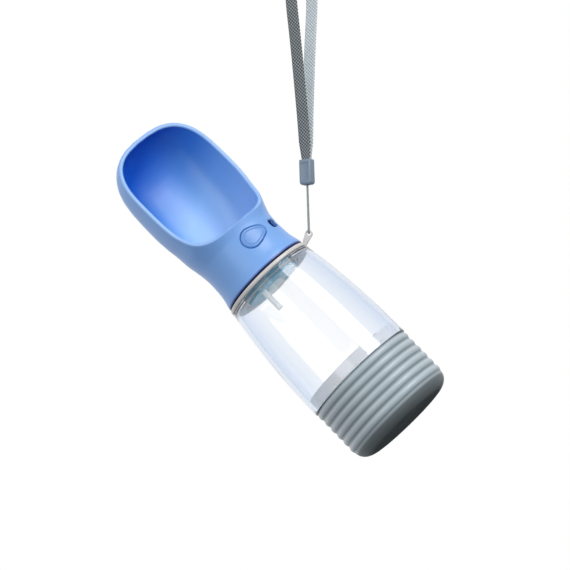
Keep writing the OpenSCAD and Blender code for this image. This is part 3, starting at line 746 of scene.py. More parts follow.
def webbing_band(name, line):
    oval = []
    for k in range(BAND_SIDES):
        a = 2 * math.pi * k / BAND_SIDES
        c, s = math.cos(a), math.sin(a)
        oval.append((math.copysign(abs(c) ** BAND_SQUARE_W, c),
                     math.copysign(abs(s) ** BAND_SQUARE_T, s)))
    verts, uvs = [], []
    for p, toward, along in zip(line, directions(line), distances(line)):
        above_clamp = p[1] - WEBBING_POINTS[0][1]
        width = WEBBING_W / 2 * (1 - PINCH * max(0, 1 - above_clamp / PINCH_LEN))
        for c, s in oval:
            out = WEBBING_T / 2 * s
            verts.append((width * c, p[0] + out * toward[1], p[1] - out * toward[0]))
            uvs.append((WEBBING_W / 2 * c, along))
    band = mesh_piece(name, placed(webbing_frame, verts),
                      capped_faces(len(line), BAND_SIDES), 60, uvs=uvs)
    inner = [float(oval[v.index % BAND_SIDES][1] > INNER_FROM) for v in band.data.vertices]
    band.data.attributes.new("inner_face", "FLOAT", "POINT").data.foreach_set("value", inner)
    return band

webbing = webbing_band("wrist_loop", webbing_line)
settle(webbing, "strap", "wrist_webbing", WEBBING)

print("declared:", cord.name, webbing.name)

# %% [markdown]
# ## Drinking scoop: its outside
# The scoop and the neck casing are one moulding. Its sections change from a circle at the
# neck to a wide, squarish oval. It could be sculpted, but then the walls would have no known
# thickness. So each station gives a share of the height, half the width, the centre's y, the
# depth behind the centre and the squareness, and a smooth curve runs through the stations.

# %% Scoop stations
SCOOP_H = SCOOP_TOP - SKIRT_Z
SCOOP_W = 34.7
SCOOP_BACK = 25.0
WAIST_R = 28.2
SKIRT_R = RING_R - 0.8

STATIONS = [
    (0, SKIRT_R, 0, SKIRT_R, 2),
    (0.02, SKIRT_R - 0.3, 0, SKIRT_R - 0.3, 2),
    (0.06, WAIST_R + 1, 0, WAIST_R + 1, 2),
    (0.11, WAIST_R + 0.25, 0, WAIST_R + 0.25, 2),
    (0.17, WAIST_R, 0, WAIST_R, 2),
    (0.22, WAIST_R + 0.2, 0, WAIST_R - 0.1, 2.05),
    (0.27, WAIST_R + 1.3, -0.8, WAIST_R + 0.2, 2.15),
    (0.33, WAIST_R + 3, -2.5, WAIST_R + 1, 2.3),
    (0.4, SCOOP_W - 2.4, -4.4, SCOOP_BACK + 5.2, 2.45),
    (0.48, SCOOP_W - 0.8, -5.6, SCOOP_BACK + 5.8, 2.55),
    (0.56, SCOOP_W - 0.1, -6, SCOOP_BACK + 6, 2.6),
    (0.64, SCOOP_W, -6, SCOOP_BACK + 5.6, 2.6),
    (0.72, SCOOP_W - 0.1, -6, SCOOP_BACK + 4.6, 2.6),
    (0.79, SCOOP_W - 0.8, -6, SCOOP_BACK + 3, 2.6),
    (0.85, SCOOP_W - 2.4, -6, SCOOP_BACK + 0.6, 2.55),
    (0.9, SCOOP_W - 5.2, -6, SCOOP_BACK - 3, 2.5),
    (0.94, SCOOP_W - 9, -6, SCOOP_BACK - 7.6, 2.45),
    (0.97, SCOOP_W - 14, -6, SCOOP_BACK - 12.4, 2.4),
    (0.99, SCOOP_W - 20, -6, SCOOP_BACK - 17, 2.3),
    (1, SCOOP_W - 27, -6, SCOOP_BACK - 21, 2.2)]

print("stations:", len(STATIONS), "waist", WAIST_R, "widest", SCOOP_W)

# %% Between the stations
def soft_lookup(table, x):
    """Value at x on a smooth curve through a table of (x, value), without overshoot."""
    xs, ys = (np.array(column, float) for column in zip(*table))
    x = min(max(x, xs[0]), xs[-1])
    slopes = np.diff(ys) / np.diff(xs)
    i = int(min(max(np.searchsorted(xs, x) - 1, 0), len(xs) - 2))

    def tangent(k):
        if k == 0 or k == len(xs) - 1:
            return slopes[0 if k == 0 else -1]
        a, b = slopes[k - 1], slopes[k]
        return 0 if a * b <= 0 else 2 * a * b / (a + b)

    h = xs[i + 1] - xs[i]
    t = (x - xs[i]) / h
    return ((1 + 2 * t) * (1 - t) ** 2 * ys[i] + t * (1 - t) ** 2 * h * tangent(i)
            + t * t * (3 - 2 * t) * ys[i + 1] + t * t * (t - 1) * h * tangent(i + 1))

def station(z):
    """Half width, centre y, depth and squareness of the outside at height z."""
    share = (z - SKIRT_Z) / SCOOP_H
    return [soft_lookup([(s[0], s[k]) for s in STATIONS], share) for k in (1, 2, 3, 4)]

print("half width at the lock:", round(station(BUTTON_Z)[0], 2))

# %% One section of the scoop
ROUND_POINTS = 120
FRONT_MOST = 0.9999
THINNEST = 1e-6

def section(half_w, centre_y, depth, squareness, z, cut_y=None):
    """Points round one section. Where cut_y is given, the part in front of it is left out."""
    start = -math.pi / 2
    if cut_y is not None:
        reach = max(-1, min(FRONT_MOST, (cut_y - centre_y) / max(depth, THINNEST)))
        start = math.asin(math.copysign(abs(reach) ** (squareness / 2), reach))
    points = []
    for k in range(ROUND_POINTS + 1):
        a = start + (math.pi - 2 * start) * k / ROUND_POINTS
        c, s = math.cos(a), math.sin(a)
        points.append((half_w * math.copysign(abs(c) ** (2 / squareness), c),
                       centre_y + depth * math.copysign(abs(s) ** (2 / squareness), s), z))
    return points

print("points round a section:", len(section(*station(SKIRT_Z), SKIRT_Z)))

# %% [markdown]
# ## Drinking scoop: its rim
# Seen from the side, the rim runs straight down and then sweeps forward to the lip in a
# quarter of an ellipse. Cutting the closed form with a plane would leave a sharp edge. So
# the walls end a little behind that line, and a round bead joins the outside to the inside,
# which keeps the rim smooth all the way round.

# %% Rim line
LIP_Z = SHOULDER_Z + 37.0
LIP_Y = -WAIST_R - 0.6
RIM_FRONT, RIM_BACK, RIM_LEAN_H = 11.4, 9.9, 38
RIM_MID_Z = LIP_Z + 45.0
SWEEP_H = 25.0
SWEEP_STEPS, UPRIGHT_STEPS = 48, 60
RIM_ROUND = 0.9

def rim_line():
    """Points (y, z) of the rim from the lip to the top, and the direction it faces."""
    lean = (RIM_FRONT - RIM_BACK) / RIM_LEAN_H
    sweep_top = np.array([-RIM_FRONT - lean * (RIM_MID_Z - LIP_Z - SWEEP_H),
                          LIP_Z + SWEEP_H])
    top = np.array([-RIM_FRONT + lean * (SCOOP_TOP - RIM_MID_Z), SCOOP_TOP])
    points = []
    for a in np.linspace(math.pi / 2, 0, SWEEP_STEPS + 1):
        points.append((sweep_top[0] + (LIP_Y - sweep_top[0]) * (1 - math.cos(a)),
                       LIP_Z + SWEEP_H * (1 - math.sin(a))))
    for k in range(1, UPRIGHT_STEPS + 1):
        points.append(sweep_top + (top - sweep_top) * k / UPRIGHT_STEPS)
    points = np.array(points)
    along = directions(points)
    return points, np.stack([-along[:, 1], along[:, 0]], axis=1)

rim_points, rim_facing = rim_line()
wall_end = rim_points - RIM_ROUND * rim_facing
CUT_LOW = wall_end[0][1]

def wall_end_y(z):
    return float(np.interp(z, wall_end[:, 1], wall_end[:, 0]))

print("rim from", rim_points[0].round(1), "to", rim_points[-1].round(1))

# %% [markdown]
# ## Drinking scoop: walls, floor and room
# The outside is closed rings up to the lip and open strips above it. The inside follows it
# at the wall's thickness, with a rounded floor. A Solidify modifier would thicken the lip
# and the floor alike, so both skins are worked out. Below the floor is the room that holds
# the valve.

# %% Scoop's outside
SCOOP_WALL = 2.8
HOLLOW_LOW = LIP_Z - 2.4
HOLLOW_HIGH = SCOOP_TOP - SCOOP_WALL - 0.4
HOLLOW = [(0, 10), (0.008, 5.6), (0.02, 2.7), (0.04, 1), (0.07, 0.2), (0.1, 0), (1, 0)]
FLOOR_SHARES = (0, 0.004, 0.008, 0.014, 0.02)
LEAN_FROM, LEAN_OVER = 8, 12
HALF_STEP = 0.5
SMALLEST = 0.3
CAP_SHARES = (0.75, 0.5, 0.25, 0.05)

def cap_rows(last):
    """Rows that close the far end: the last row shrunk towards the middle of the rim."""
    middle = (np.array(last[0]) + np.array(last[-1])) / 2
    return [[tuple(middle + (np.array(p) - middle) * share) for p in last]
            for share in CAP_SHARES]

def outer_rows():
    """The outside: closed rows up to the lip, then open strips."""
    closed = [section(SKIRT_R - inset, 0, SKIRT_R - inset, 2, SKIRT_Z + up)
              for inset, up in ((0.4, 0), (0.1, 0.15))]
    closed += [section(*station(z), z) for z in np.linspace(SKIRT_Z + 0.5, CUT_LOW, 34)]
    strips = [section(*station(z), z, wall_end_y(z))
              for z in np.minimum(wall_end[1:, 1], SCOOP_TOP)]
    return closed, strips + cap_rows(strips[-1])

print("walls", SCOOP_WALL, "mm thick")

# %% Scoop's inside
def inner_section(z, cut=False):
    """The hollow's section beside height z of the outside, at the wall's thickness."""
    half_w, centre_y, depth, square = station(z)
    top, bottom = min(z + HALF_STEP, SCOOP_TOP), max(z - HALF_STEP, SKIRT_Z)
    above, below = station(top), station(bottom)
    slope = ((above[0] + above[2]) - (below[0] + below[2])) / 2 / (top - bottom)
    out, up = 1 / math.hypot(1, slope), -slope / math.hypot(1, slope)
    blend = min(1, max(0, (z - LIP_Z - LEAN_FROM) / LEAN_OVER))
    spare = soft_lookup(HOLLOW, (z - HOLLOW_LOW) / (HOLLOW_HIGH - HOLLOW_LOW))
    inset = SCOOP_WALL * ((1 - blend) + blend * out) + spare
    inner_z = z - SCOOP_WALL * max(0, up) * blend
    return section(max(half_w - inset, SMALLEST), centre_y, max(depth - inset, SMALLEST),
                   square, inner_z, wall_end_y(inner_z) if cut else None)

def inner_rows():
    """The inside: closed rows from its floor to the lip, then open strips."""
    heights = [HOLLOW_LOW + s * (HOLLOW_HIGH - HOLLOW_LOW) for s in FLOOR_SHARES]
    closed = [inner_section(z) for z in heights if z < CUT_LOW] + [inner_section(CUT_LOW)]
    strips = [inner_section(z, cut=True) for z in np.minimum(wall_end[1:, 1], SCOOP_TOP)]
    return closed, strips + cap_rows(strips[-1])

print("hollow from", round(HOLLOW_LOW, 1), "to", round(HOLLOW_HIGH, 1))

# %% [markdown]
# The skins, the room and the bead are stitched into one closed mesh.

# %% Scoop shell
ROOM_TOP = HOLLOW_LOW - 2.2
ROOM_R = 26.1
BEAD_STEPS = 8

def scoop_shell():
    outer_low, outer_strips = outer_rows()
    inner_low, inner_strips = inner_rows()
    verts, faces = [], []

    def lay(rows):
        start = len(verts)
        for row in rows:
            verts.extend(row)
        return [start + j * len(rows[0]) for j in range(len(rows))]

    def stitch(starts, width):
        for first, second in zip(starts, starts[1:]):
            for k in range(width):
                faces.append((first + k, first + k + 1, second + k + 1, second + k))

    outside = lay(outer_low + outer_strips)
    inside = lay(inner_low + inner_strips)
    stitch(outside, ROUND_POINTS)
    stitch(inside, ROUND_POINTS)
    room = lay([section(ROOM_R, 0, ROOM_R, 2, z) for z in (SKIRT_Z, ROOM_TOP)])
    stitch([outside[0], *room], ROUND_POINTS)
    # the room's ceiling, the hollow's floor, and the far end's last rows
    for start, count in ((room[1], 0), (inside[0], 0), (outside[-1], 1), (inside[-1], 1)):
        faces.append(tuple(start + k for k in range(ROUND_POINTS + count)))

    # the bead: half an ellipse from each outer end to its inner end
    last_beads = []
    for side in (0, ROUND_POINTS):
        beads = []
        for row, (outer, inner) in enumerate(zip(outside[len(outer_low) - 1:],
                                                 inside[len(inner_low) - 1:])):
            a, b = np.array(verts[outer + side]), np.array(verts[inner + side])
            push = np.array([0, *rim_facing[min(row, len(rim_facing) - 1)]]) * RIM_ROUND
            beads += lay([[tuple((a + b) / 2 + (a - b) / 2 * math.cos(t) + push * math.sin(t))
                           for t in np.linspace(0, math.pi, BEAD_STEPS + 1)]])
        stitch(beads, BEAD_STEPS)
        last_beads.append(beads[-1])
    stitch(last_beads, BEAD_STEPS)
    return verts, faces

scoop = mesh_piece("drinking_scoop", *scoop_shell(), 40)
print("scoop:", len(scoop.data.vertices), "points; top",
      round(max(v.co.z for v in scoop.data.vertices) / MM, 2))

# %% [markdown]
# ## Openings in the scoop
# The button's drop-shaped hole, the lock's slot and the water's hole are carved out. Each
# cutter flares near the surface, which leaves the small chamfer that a mould leaves. That is
# cleaner than a bevel on the edges that a cut leaves in a curved wall.

# %% Outlines and solids of rows
def circle(radius, count):
    """Points round a circle."""
    return [(radius * math.cos(2 * math.pi * k / count),
             radius * math.sin(2 * math.pi * k / count)) for k in range(count)]

def round_outline(circles, grow, count, start=0.0):
    """Points of a tight line round some circles (x, z, radius), grown by grow."""
    outline = []
    for k in range(count):
        a = start + 2 * math.pi * k / count
        c, s = math.cos(a), math.sin(a)
        x, z, r = max(circles, key=lambda ring: ring[0] * c + ring[1] * s + ring[2])
        outline.append((x + (r + grow) * c, z + (r + grow) * s))
    return outline

def solid_of_rows(name, rows, matrix=Matrix.Identity(4)):
    """A closed solid from rows of points, capped at both ends."""
    verts = placed(matrix, [p for row in rows for p in row])
    return mesh_piece(name, verts, capped_faces(len(rows), len(rows[0])))

def wall_y(x, radius):
    """The neck's front surface at x: it is a cylinder's side."""
    return -math.sqrt(max(radius ** 2 - x ** 2, 0))

print("a circle of 40 points starts at", circle(1, 40)[0])

# %% Drop outline
BUTTON_W, BUTTON_H = 18.7, 12.8
BIG_R, SIDE_R, TIP_R = BUTTON_H / 2, BUTTON_H / 2 - 0.6, 3.8
SIDE_STEP = 3
FINE_POINTS, DROP_POINTS = 720, 96

def drop_outline(grow):
    """Evenly spaced points round the drop-shaped button, grown by grow."""
    big_x = -BUTTON_W / 2 + BIG_R
    circles = [(big_x, 0, BIG_R), (big_x + SIDE_STEP, 0, SIDE_R),
               (BUTTON_W / 2 - TIP_R, 0, TIP_R)]
    outline = round_outline(circles, grow, FINE_POINTS, start=math.pi)
    outline = np.array(outline + outline[:1])
    along = distances(outline)
    even = np.linspace(0, along[-1], DROP_POINTS, endpoint=False)
    return np.stack([np.interp(even, along, outline[:, i]) for i in (0, 1)], axis=1)

print("button", BUTTON_W, "by", BUTTON_H, "mm")

# %% [markdown]
# Turned shapes, such as the water's hole and the barrel, come from a profile that goes round
# the bottle's axis. Its corners become arcs first, because no moulded edge is sharp.

# %% Turning helpers
CORNER_SHARE = 0.48

def rounded(corners, steps=6):
    """A closed profile of (r, z, corner radius), with each corner turned into an arc."""
    points = []
    for i, corner in enumerate(corners):
        p = np.array(corner[:2], float)
        radius = corner[2] if len(corner) > 2 else 0
        if radius <= 0:
            points.append(tuple(p))
            continue
        before = np.array(corners[i - 1][:2], float) - p
        after = np.array(corners[(i + 1) % len(corners)][:2], float) - p
        u, v = before / np.linalg.norm(before), after / np.linalg.norm(after)
        half = math.acos(max(-1, min(1, float(u @ v)))) / 2
        reach = min(radius / math.tan(half), CORNER_SHARE * np.linalg.norm(before),
                    CORNER_SHARE * np.linalg.norm(after))
        start, end = p + u * reach, p + v * reach
        for t in np.linspace(0, 1, steps + 1):
            points.append(tuple((1 - t) ** 2 * start + 2 * t * (1 - t) * p + t ** 2 * end))
    return points

def lathe(name, profile, sides=144, angle=35):
    """A closed profile of (r, z) points turned round the bottle's axis."""
    verts = [(r * c, r * s, z) for c, s in circle(1, sides) for r, z in profile]
    return mesh_piece(name, verts, grid_faces(sides, len(profile), wrap=True), angle)

print("corner arcs take at most", CORNER_SHARE, "of an edge")

# %% Carve the scoop
BUTTON_FRONT = 28.2
BUTTON_GAP, CHAMFER = 0.35, 0.55
CUT_OUT, CUT_IN = -6.0, 8.0
LOCK_TURN = math.radians(43)
SLOT_L, SLOT_H, SLOT_ROUND, SLOT_CHAMFER = 9.5, 6.0, 2.2, 0.5
OUTLET_AT, OUTLET_R, OUTLET_FLARE_R = (-11.5, 5.0), 3.5, 4.1

lock_frame = Matrix.Rotation(LOCK_TURN, 4, "Z") @ Matrix.Translation((0, 0, BUTTON_Z))

def slot_ring(grow):
    return rounded_rectangle(SLOT_L / 2 + grow, SLOT_H / 2 + grow, SLOT_ROUND + grow)

def flared(ring_of, steps, z=0.0):
    """Rows of a cutter that follows the neck's side: a ring for each (depth, grow)."""
    return [[(x, wall_y(x, BUTTON_FRONT) + depth, z + up) for x, up in ring_of(grow)]
            for depth, grow in steps]

wide = BUTTON_GAP + CHAMFER
drop_cut = solid_of_rows("drop_cut", flared(
    drop_outline, ((CUT_OUT, wide), (0.05, wide), (CHAMFER, BUTTON_GAP),
                   (CUT_IN, BUTTON_GAP)), BUTTON_Z))
slot_cut = solid_of_rows("slot_cut", flared(
    slot_ring, ((CUT_OUT, SLOT_CHAMFER), (0.0, SLOT_CHAMFER), (SLOT_CHAMFER, 0.0),
                (CUT_IN, 0.0))), lock_frame)
outlet_cut = lathe("outlet_cut", rounded([
    (0, ROOM_TOP - 1), (OUTLET_R, ROOM_TOP - 1), (OUTLET_R, HOLLOW_LOW - 0.3),
    (OUTLET_FLARE_R, HOLLOW_LOW + 0.4), (OUTLET_FLARE_R, HOLLOW_LOW + 3),
    (0, HOLLOW_LOW + 3)]), 40)
outlet_cut.location = Vector((*OUTLET_AT, 0)) * MM
scoop = carved(scoop, [drop_cut, slot_cut, outlet_cut], 34)
print("scoop after carving:", len(scoop.data.polygons), "faces")

# %% [markdown]
# Three masks tell the finish where the bowl's inside, its rim and the skirt's edge are, and
# so where it paints light and shade in the bowl, a highlight on the rim and shade at the
# skirt's edge. They could be painted by hand. Worked out from each point's place, they are
# the same each time, and the carving can't lose them.

# %% Scoop masks
SKIRT_EDGE = 0.6
SKIN, END_SKIN = 1.3, 1.2
RIM_FADE, INSIDE_FADE = 1.3, 0.9

def scoop_masks(mesh):
    masks = {name: np.zeros(len(mesh.vertices)) for name in ("inside", "rim", "skirt")}
    for vertex in mesh.vertices:
        x, y, z = vertex.co / MM
        # the skirt's edge: a thin band that gets painted shade
        masks["skirt"][vertex.index] = z < SKIRT_Z + SKIRT_EDGE
        if z < HOLLOW_LOW - 1:
            continue
        half_w, centre_y, depth, square = station(min(z, SCOOP_TOP))
        ratio = ((abs(x) / half_w) ** square + (abs(y - centre_y) / depth) ** square)
        below_skin = (1 - ratio ** (1 / square)) * min(half_w, depth)
        to_rim = float(np.min(np.hypot(rim_points[:, 0] - y, rim_points[:, 1] - z)))
        if below_skin > SKIN and z < SCOOP_TOP - END_SKIN:
            masks["inside"][vertex.index] = min(1, to_rim / INSIDE_FADE)
        # the rim's mask fades away from the rim line, for the painted highlight
        masks["rim"][vertex.index] = max(0, 1 - to_rim / RIM_FADE)
    for name, values in masks.items():
        mesh.attributes.new(name, "FLOAT", "POINT").data.foreach_set("value", values)
        print("mask", name, "over", int((values > 0).sum()), "points")

scoop_masks(scoop.data)
settle(scoop, "head", "bowl_shell", SCOOP_BLUE)

# %% [markdown]
# ## Push button
# The button is a drop with a soft edge, a sunk line and a slightly raised panel inside it,
# bare of any mark. A flange behind it keeps it in, and its stem ends in a 45 degree wedge
# that pushes the valve rod down. An outline that is only extruded has a flat face, and this
# one follows the neck's round side. So its rows are drop outlines that are pushed back onto
# that side.

# %% Button helpers
def joined(name, *parts):
    """One object from several, which are removed."""
    work = bmesh.new()
    for part in parts:
        part.data.transform(part.matrix_world)
        work.from_mesh(part.data)
    mesh = bpy.data.meshes.new(name)
    work.to_mesh(mesh)
    work.free()
    for part in parts:
        bpy.data.objects.remove(part)
    return put(name, mesh)

def room_y(half_width):
    """The y of the room's front wall where the room is half_width wide to each side."""
    return -math.sqrt(ROOM_R ** 2 - half_width ** 2)

print("room's front wall at", round(room_y(0), 1))

# %% Button
BUTTON_EDGE, BUTTON_PROUD = 0.9, 0.25
PANEL_MIDDLE = np.array([-1.2, 0])
PANEL_ROWS = ((0.9, 0), (0.87, 0.28), (0.84, 0.34), (0.81, 0.28), (0.78, 0), (0.6, 0),
              (0.4, 0), (0.2, 0), (0.04, 0))
FLANGE_Y = room_y(BUTTON_W / 2 + 1) + 0.4
FLANGE_T, FLANGE_GROW, FLANGE_PLAY = 1.3, 0.7, 0.4
STEM_R, STEM_POINTS, WEDGE_BACK = 3.5, 40, 0.15
COVER_TOP = NECK_TOP + 0.8 + 1.4 + 1.8

def button_cap():
    face_r = BUTTON_FRONT + BUTTON_PROUD
    edge = [(0.0, BUTTON_EDGE)]
    edge += [(BUTTON_EDGE * (1 - math.cos(a)), BUTTON_EDGE * (1 - math.sin(a)))
             for a in np.radians((15, 30, 45, 60, 75, 90))]
    rows = [[(x, FLANGE_Y, BUTTON_Z + z) for x, z in drop_outline(0)]]
    shapes = [(drop_outline(-inset), sunk) for inset, sunk in edge]
    inner = drop_outline(-BUTTON_EDGE) - PANEL_MIDDLE
    shapes += [(PANEL_MIDDLE + inner * share, sunk) for share, sunk in PANEL_ROWS]
    rows += [[(x, wall_y(x, face_r - sunk), BUTTON_Z + z) for x, z in shape]
             for shape, sunk in shapes]
    return solid_of_rows("button_cap", rows)

def button_stem():
    ring = circle(STEM_R, STEM_POINTS)
    return solid_of_rows("button_stem", [
        [(x, FLANGE_Y + 1, BUTTON_Z + z) for x, z in ring],
        [(x, z - WEDGE_BACK, BUTTON_Z + z) for x, z in ring]])

def button_flange():
    up = min(ROOM_TOP - BUTTON_Z, BUTTON_Z - COVER_TOP) - FLANGE_PLAY
    return solid_of_rows("flange", [
        [(x, y, BUTTON_Z + max(-up, min(up, z))) for x, z in drop_outline(FLANGE_GROW)]
        for y in (FLANGE_Y - 0.1, FLANGE_Y + FLANGE_T)])

button = joined("push_button_cap", button_cap(), button_stem(), button_flange())
settle(button, "button", "push_button", BUTTON_BLUE)

# %% [markdown]
# ## Lock slider
# The lock is a small knob in the slot on the right of the button. Behind the wall it has a
# plate that guides it and a tongue that goes under the button's flange. Cubes with a bevel
# modifier would look the same. But the boxes become one mesh, so each gets its small round
# edges at once, and the lock's own frame turns them all.

# %% Lock
KNOB_W, KNOB_H, KNOB_ROUND = 3.4, SLOT_H - 0.6, 0.5
KNOB_X = SLOT_L / 2 - 0.3 - KNOB_W
PLATE_Y, PLATE_T, PLATE_UP = room_y(8) + 0.3, 1.2, 4
TONGUE_Y, TONGUE_UP = PLATE_Y + PLATE_T + 1.1, 2
GRIP_STEP, GRIP_HALF, GRIP_ENDS = 0.95, 0.2, 0.7

def soft_box(name, low_corner, high_corner, bevel=0.2):
    """A box with rounded edges in the lock's frame."""
    lo, hi = np.array(low_corner, float), np.array(high_corner, float)
    work = bmesh.new()
    bmesh.ops.create_cube(work, size=1)
    for vertex in work.verts:
        vertex.co = Vector(((lo + hi) / 2 + np.array(vertex.co) * (hi - lo)).tolist())
    bmesh.ops.bevel(work, geom=list(work.edges), offset=bevel, segments=3, profile=0.5,
                    affect="EDGES")
    verts = placed(lock_frame, [v.co for v in work.verts])
    faces = [tuple(v.index for v in f.verts) for f in work.faces]
    work.free()
    return mesh_piece(name, verts, faces, 30)

def lock_piece():
    parts = [soft_box("knob", (KNOB_X, -WAIST_R + 0.8, -KNOB_H / 2),
                      (KNOB_X + KNOB_W, PLATE_Y + 0.3, KNOB_H / 2), KNOB_ROUND),
             soft_box("plate", (KNOB_X - 3, PLATE_Y, -PLATE_UP),
                      (KNOB_X + 4.6, PLATE_Y + PLATE_T, PLATE_UP)),
             soft_box("post", (0, PLATE_Y + 0.9, -TONGUE_UP), (3, TONGUE_Y + 0.2, TONGUE_UP)),
             soft_box("tongue", (-4.2, TONGUE_Y, -TONGUE_UP),
                      (KNOB_X + 1.8, TONGUE_Y + PLATE_T, TONGUE_UP))]
    for k in (-1, 0, 1):
        x = KNOB_X + KNOB_W / 2 + k * GRIP_STEP
        parts.append(soft_box(
            "grip", (x - GRIP_HALF, -WAIST_R + 0.55, GRIP_ENDS - KNOB_H / 2),
            (x + GRIP_HALF, -WAIST_R + 1.2, KNOB_H / 2 - GRIP_ENDS), 0.12))
    return joined("lock_knob", *parts)

# the knob's dark navy finish is painted shade, for the shadow in the slot
settle(lock_piece(), "lock", "lock_slider", LOCK_SHADE_NAVY)

# %% [markdown]
# ## Springs
# Two springs of drawn wire close the valve again. Each is a round wire along a helix that
# lies flat at its two ends, as a wound spring's ends do. A curve with a bevel would do too,
# but its ends would need caps.

# %% Springs
WIRE_D, END_TURN = 0.7, 0.6
WIRE_SIDES, TURN_STEPS = 12, 40

def wire_coil(name, matrix, mean_r, length, curls):
    """A round wire wound up +Z from the origin, with flat ends."""
    turns = np.linspace(0, curls, TURN_STEPS * curls + 1)
    rate = np.clip(np.minimum(turns, curls - turns) / END_TURN, 0, 1)
    climb = np.concatenate([[0], np.cumsum((rate[1:] + rate[:-1]) / 2)])
    climb = WIRE_D / 2 + climb / climb[-1] * (length - WIRE_D)
    verts = []
    for turn, z in zip(turns, climb):
        c, s = math.cos(2 * math.pi * turn), math.sin(2 * math.pi * turn)
        verts += [((mean_r + out) * c, (mean_r + out) * s, z + up)
                  for out, up in circle(WIRE_D / 2, WIRE_SIDES)]
    return mesh_piece(name, placed(matrix, verts), capped_faces(len(turns), WIRE_SIDES), 60)

def spring(name, node, axis, curls, fixed_end):
    """A coil in the place of a CAD spring, along axis 1 (y) or 2 (z). fixed_end (0 for the
    low one, 1 for the high one) names the end that would stay put; the place worked out from
    it is not used."""
    ends = low(node)[axis], high(node)[axis]
    start = [0, 0, ends[0]] if axis == 2 else [0, ends[0], BUTTON_Z]
    matrix = Matrix.Translation(start)
    if axis == 1:
        matrix = matrix @ Matrix.Rotation(-math.pi / 2, 4, "X")
    coil = wire_coil(name, matrix, high(node)[0] - WIRE_D / 2, ends[1] - ends[0], curls)
    settle(coil, "head", node, STEEL)
    anchor = list(start)
    anchor[axis] = ends[fixed_end]
    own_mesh(coil)

spring("plug_spring", "valve_spring", 2, 6, 0)
spring("return_spring", "button_spring", 1, 3, 1)

# %% [markdown]
# ## Clear bottle
# The barrel tapers softly to its shoulder. It has a real wall, so that light bends in it
# twice, which a single skin can't show. The head screws onto its threaded neck. Each thread
# is a ridge that climbs round the wall and fades in and out. A bump would be lighter, but it
# has no height where the wall is seen from the side.

# %% Thread
PITCH = 3.0
THREAD_REACH, THREAD_ROOT = 1.1, 0.3
THREAD_STEPS, FADE_STEPS, FADE_MIN = 72, 8, 0.05
ROOT_HALF, CREST_HALF = 0.55, 0.3

def thread_ridge(wall_r, side, z_low, turns, start):
    """A ridge outside the wall (side 1) or inside it (side -1)."""
    count = int(THREAD_STEPS * turns)
    rows = []
    for i in range(count + 1):
        a = math.radians(start) + 2 * math.pi * i / THREAD_STEPS
        z = z_low + PITCH * i / THREAD_STEPS
        fade = min(1, min(i, count - i) / FADE_STEPS + FADE_MIN)
        root, crest = wall_r - side * THREAD_ROOT, wall_r + side * THREAD_REACH * fade
        ring = [(root, -ROOT_HALF), (root, ROOT_HALF), (crest, CREST_HALF),
                (crest, -CREST_HALF)]
        rows.append([(r * math.cos(a), r * math.sin(a), z + up) for r, up in ring])
    return solid_of_rows("thread", rows)

print("thread pitch", PITCH, "mm")

# %% Bottle
SHOULDER_R, SHOULDER_ROUND = 31.6, 2.3
BOTTLE_WALL, BARREL_STEPS, TAPER = 2.3, 24, 2.1
NECK_R, NECK_IN = 22.4, 20.4

def bottle_piece():
    foot, top = CUP_H + 0.1, SHOULDER_Z - SHOULDER_ROUND
    outer = [(BOTTLE_R - (BOTTLE_R - SHOULDER_R) * t ** TAPER, foot + t * (top - foot))
             for t in np.linspace(0, 1, BARREL_STEPS + 1)]
    inner = [(r - BOTTLE_WALL, z) for r, z in reversed(outer)]
    under = SHOULDER_Z - BOTTLE_WALL
    corners = [(*outer[0], 0.4), *outer[1:],
               (SHOULDER_R, SHOULDER_Z, SHOULDER_ROUND), (NECK_R, SHOULDER_Z, 0.3),
               (NECK_R, NECK_TOP, 0.5), (NECK_IN, NECK_TOP, 0.5), (NECK_IN, under, 0.8),
               (SHOULDER_R - BOTTLE_WALL - 0.2, under, 1.8), *inner[:-1], (*inner[-1], 0.4)]
    return lathe("bottle_wall", rounded(corners), 160, 30)

bottle = joined("clear_bottle", bottle_piece(),
                thread_ridge(NECK_R, 1, SHOULDER_Z + 6.2, 1.5, 0))
settle(bottle, "bottle", "bottle", CLEAR)

# %% [markdown]
# ## Bottle floor
# A clear disc closes the bottle. Under it is the threaded ring that takes the food cup. It
# could be one mesh with the barrel, but it is a piece of its own and looks milkier, so it is
# turned by itself.

# %% Bottle floor
FLOOR_R = BOTTLE_R - BOTTLE_WALL - 0.1
FLOOR_IN = FLOOR_R - 1.6
FLOOR_Z, FLOOR_T = CUP_H + CUP_COLLAR_H + 1.4, 2
FLOOR_LOW = CUP_H + 0.8
CUP_THREAD_Z, CUP_THREAD_TURNS = CUP_H + 1.7, 0.8

floor_profile = rounded([
    (0, FLOOR_Z), (FLOOR_IN, FLOOR_Z, 0.5), (FLOOR_IN, FLOOR_LOW, 0.3),
    (FLOOR_R - 0.3, FLOOR_LOW, 0.3), (FLOOR_R - 0.3, FLOOR_Z + FLOOR_T, 0.6),
    (0, FLOOR_Z + FLOOR_T)])
floor_disc = joined("clear_floor", lathe("floor_disc", floor_profile, 144, 30),
                    thread_ridge(FLOOR_IN, -1, CUP_THREAD_Z, CUP_THREAD_TURNS, 180))
settle(floor_disc, "bottle", "bottle_floor", CLEAR_FLOOR)

# %% [markdown]
# ## Food cup
# The cup's ribs are round ridges with soft grooves between them. Below them the foot is
# plain and turns into the flat base with a wide round corner. The whole cup is one turned
# profile, because a bump can't give the ribs their outline.

# %% Food cup
GROOVE, RIBS, RIB_STEPS, RIB_FULLNESS = 0.9, 6, 16, 0.7
FOOT_H, FOOT_ROUND = 8.0, 9.5
FOOT_R = CUP_R - GROOVE
BASE_DISH = 0.35
CUP_WALL, INNER_ROUND = 2.2, 5.9
COLLAR_R = FLOOR_IN - 1.1 - 0.4
COLLAR_IN = COLLAR_R - 2.0

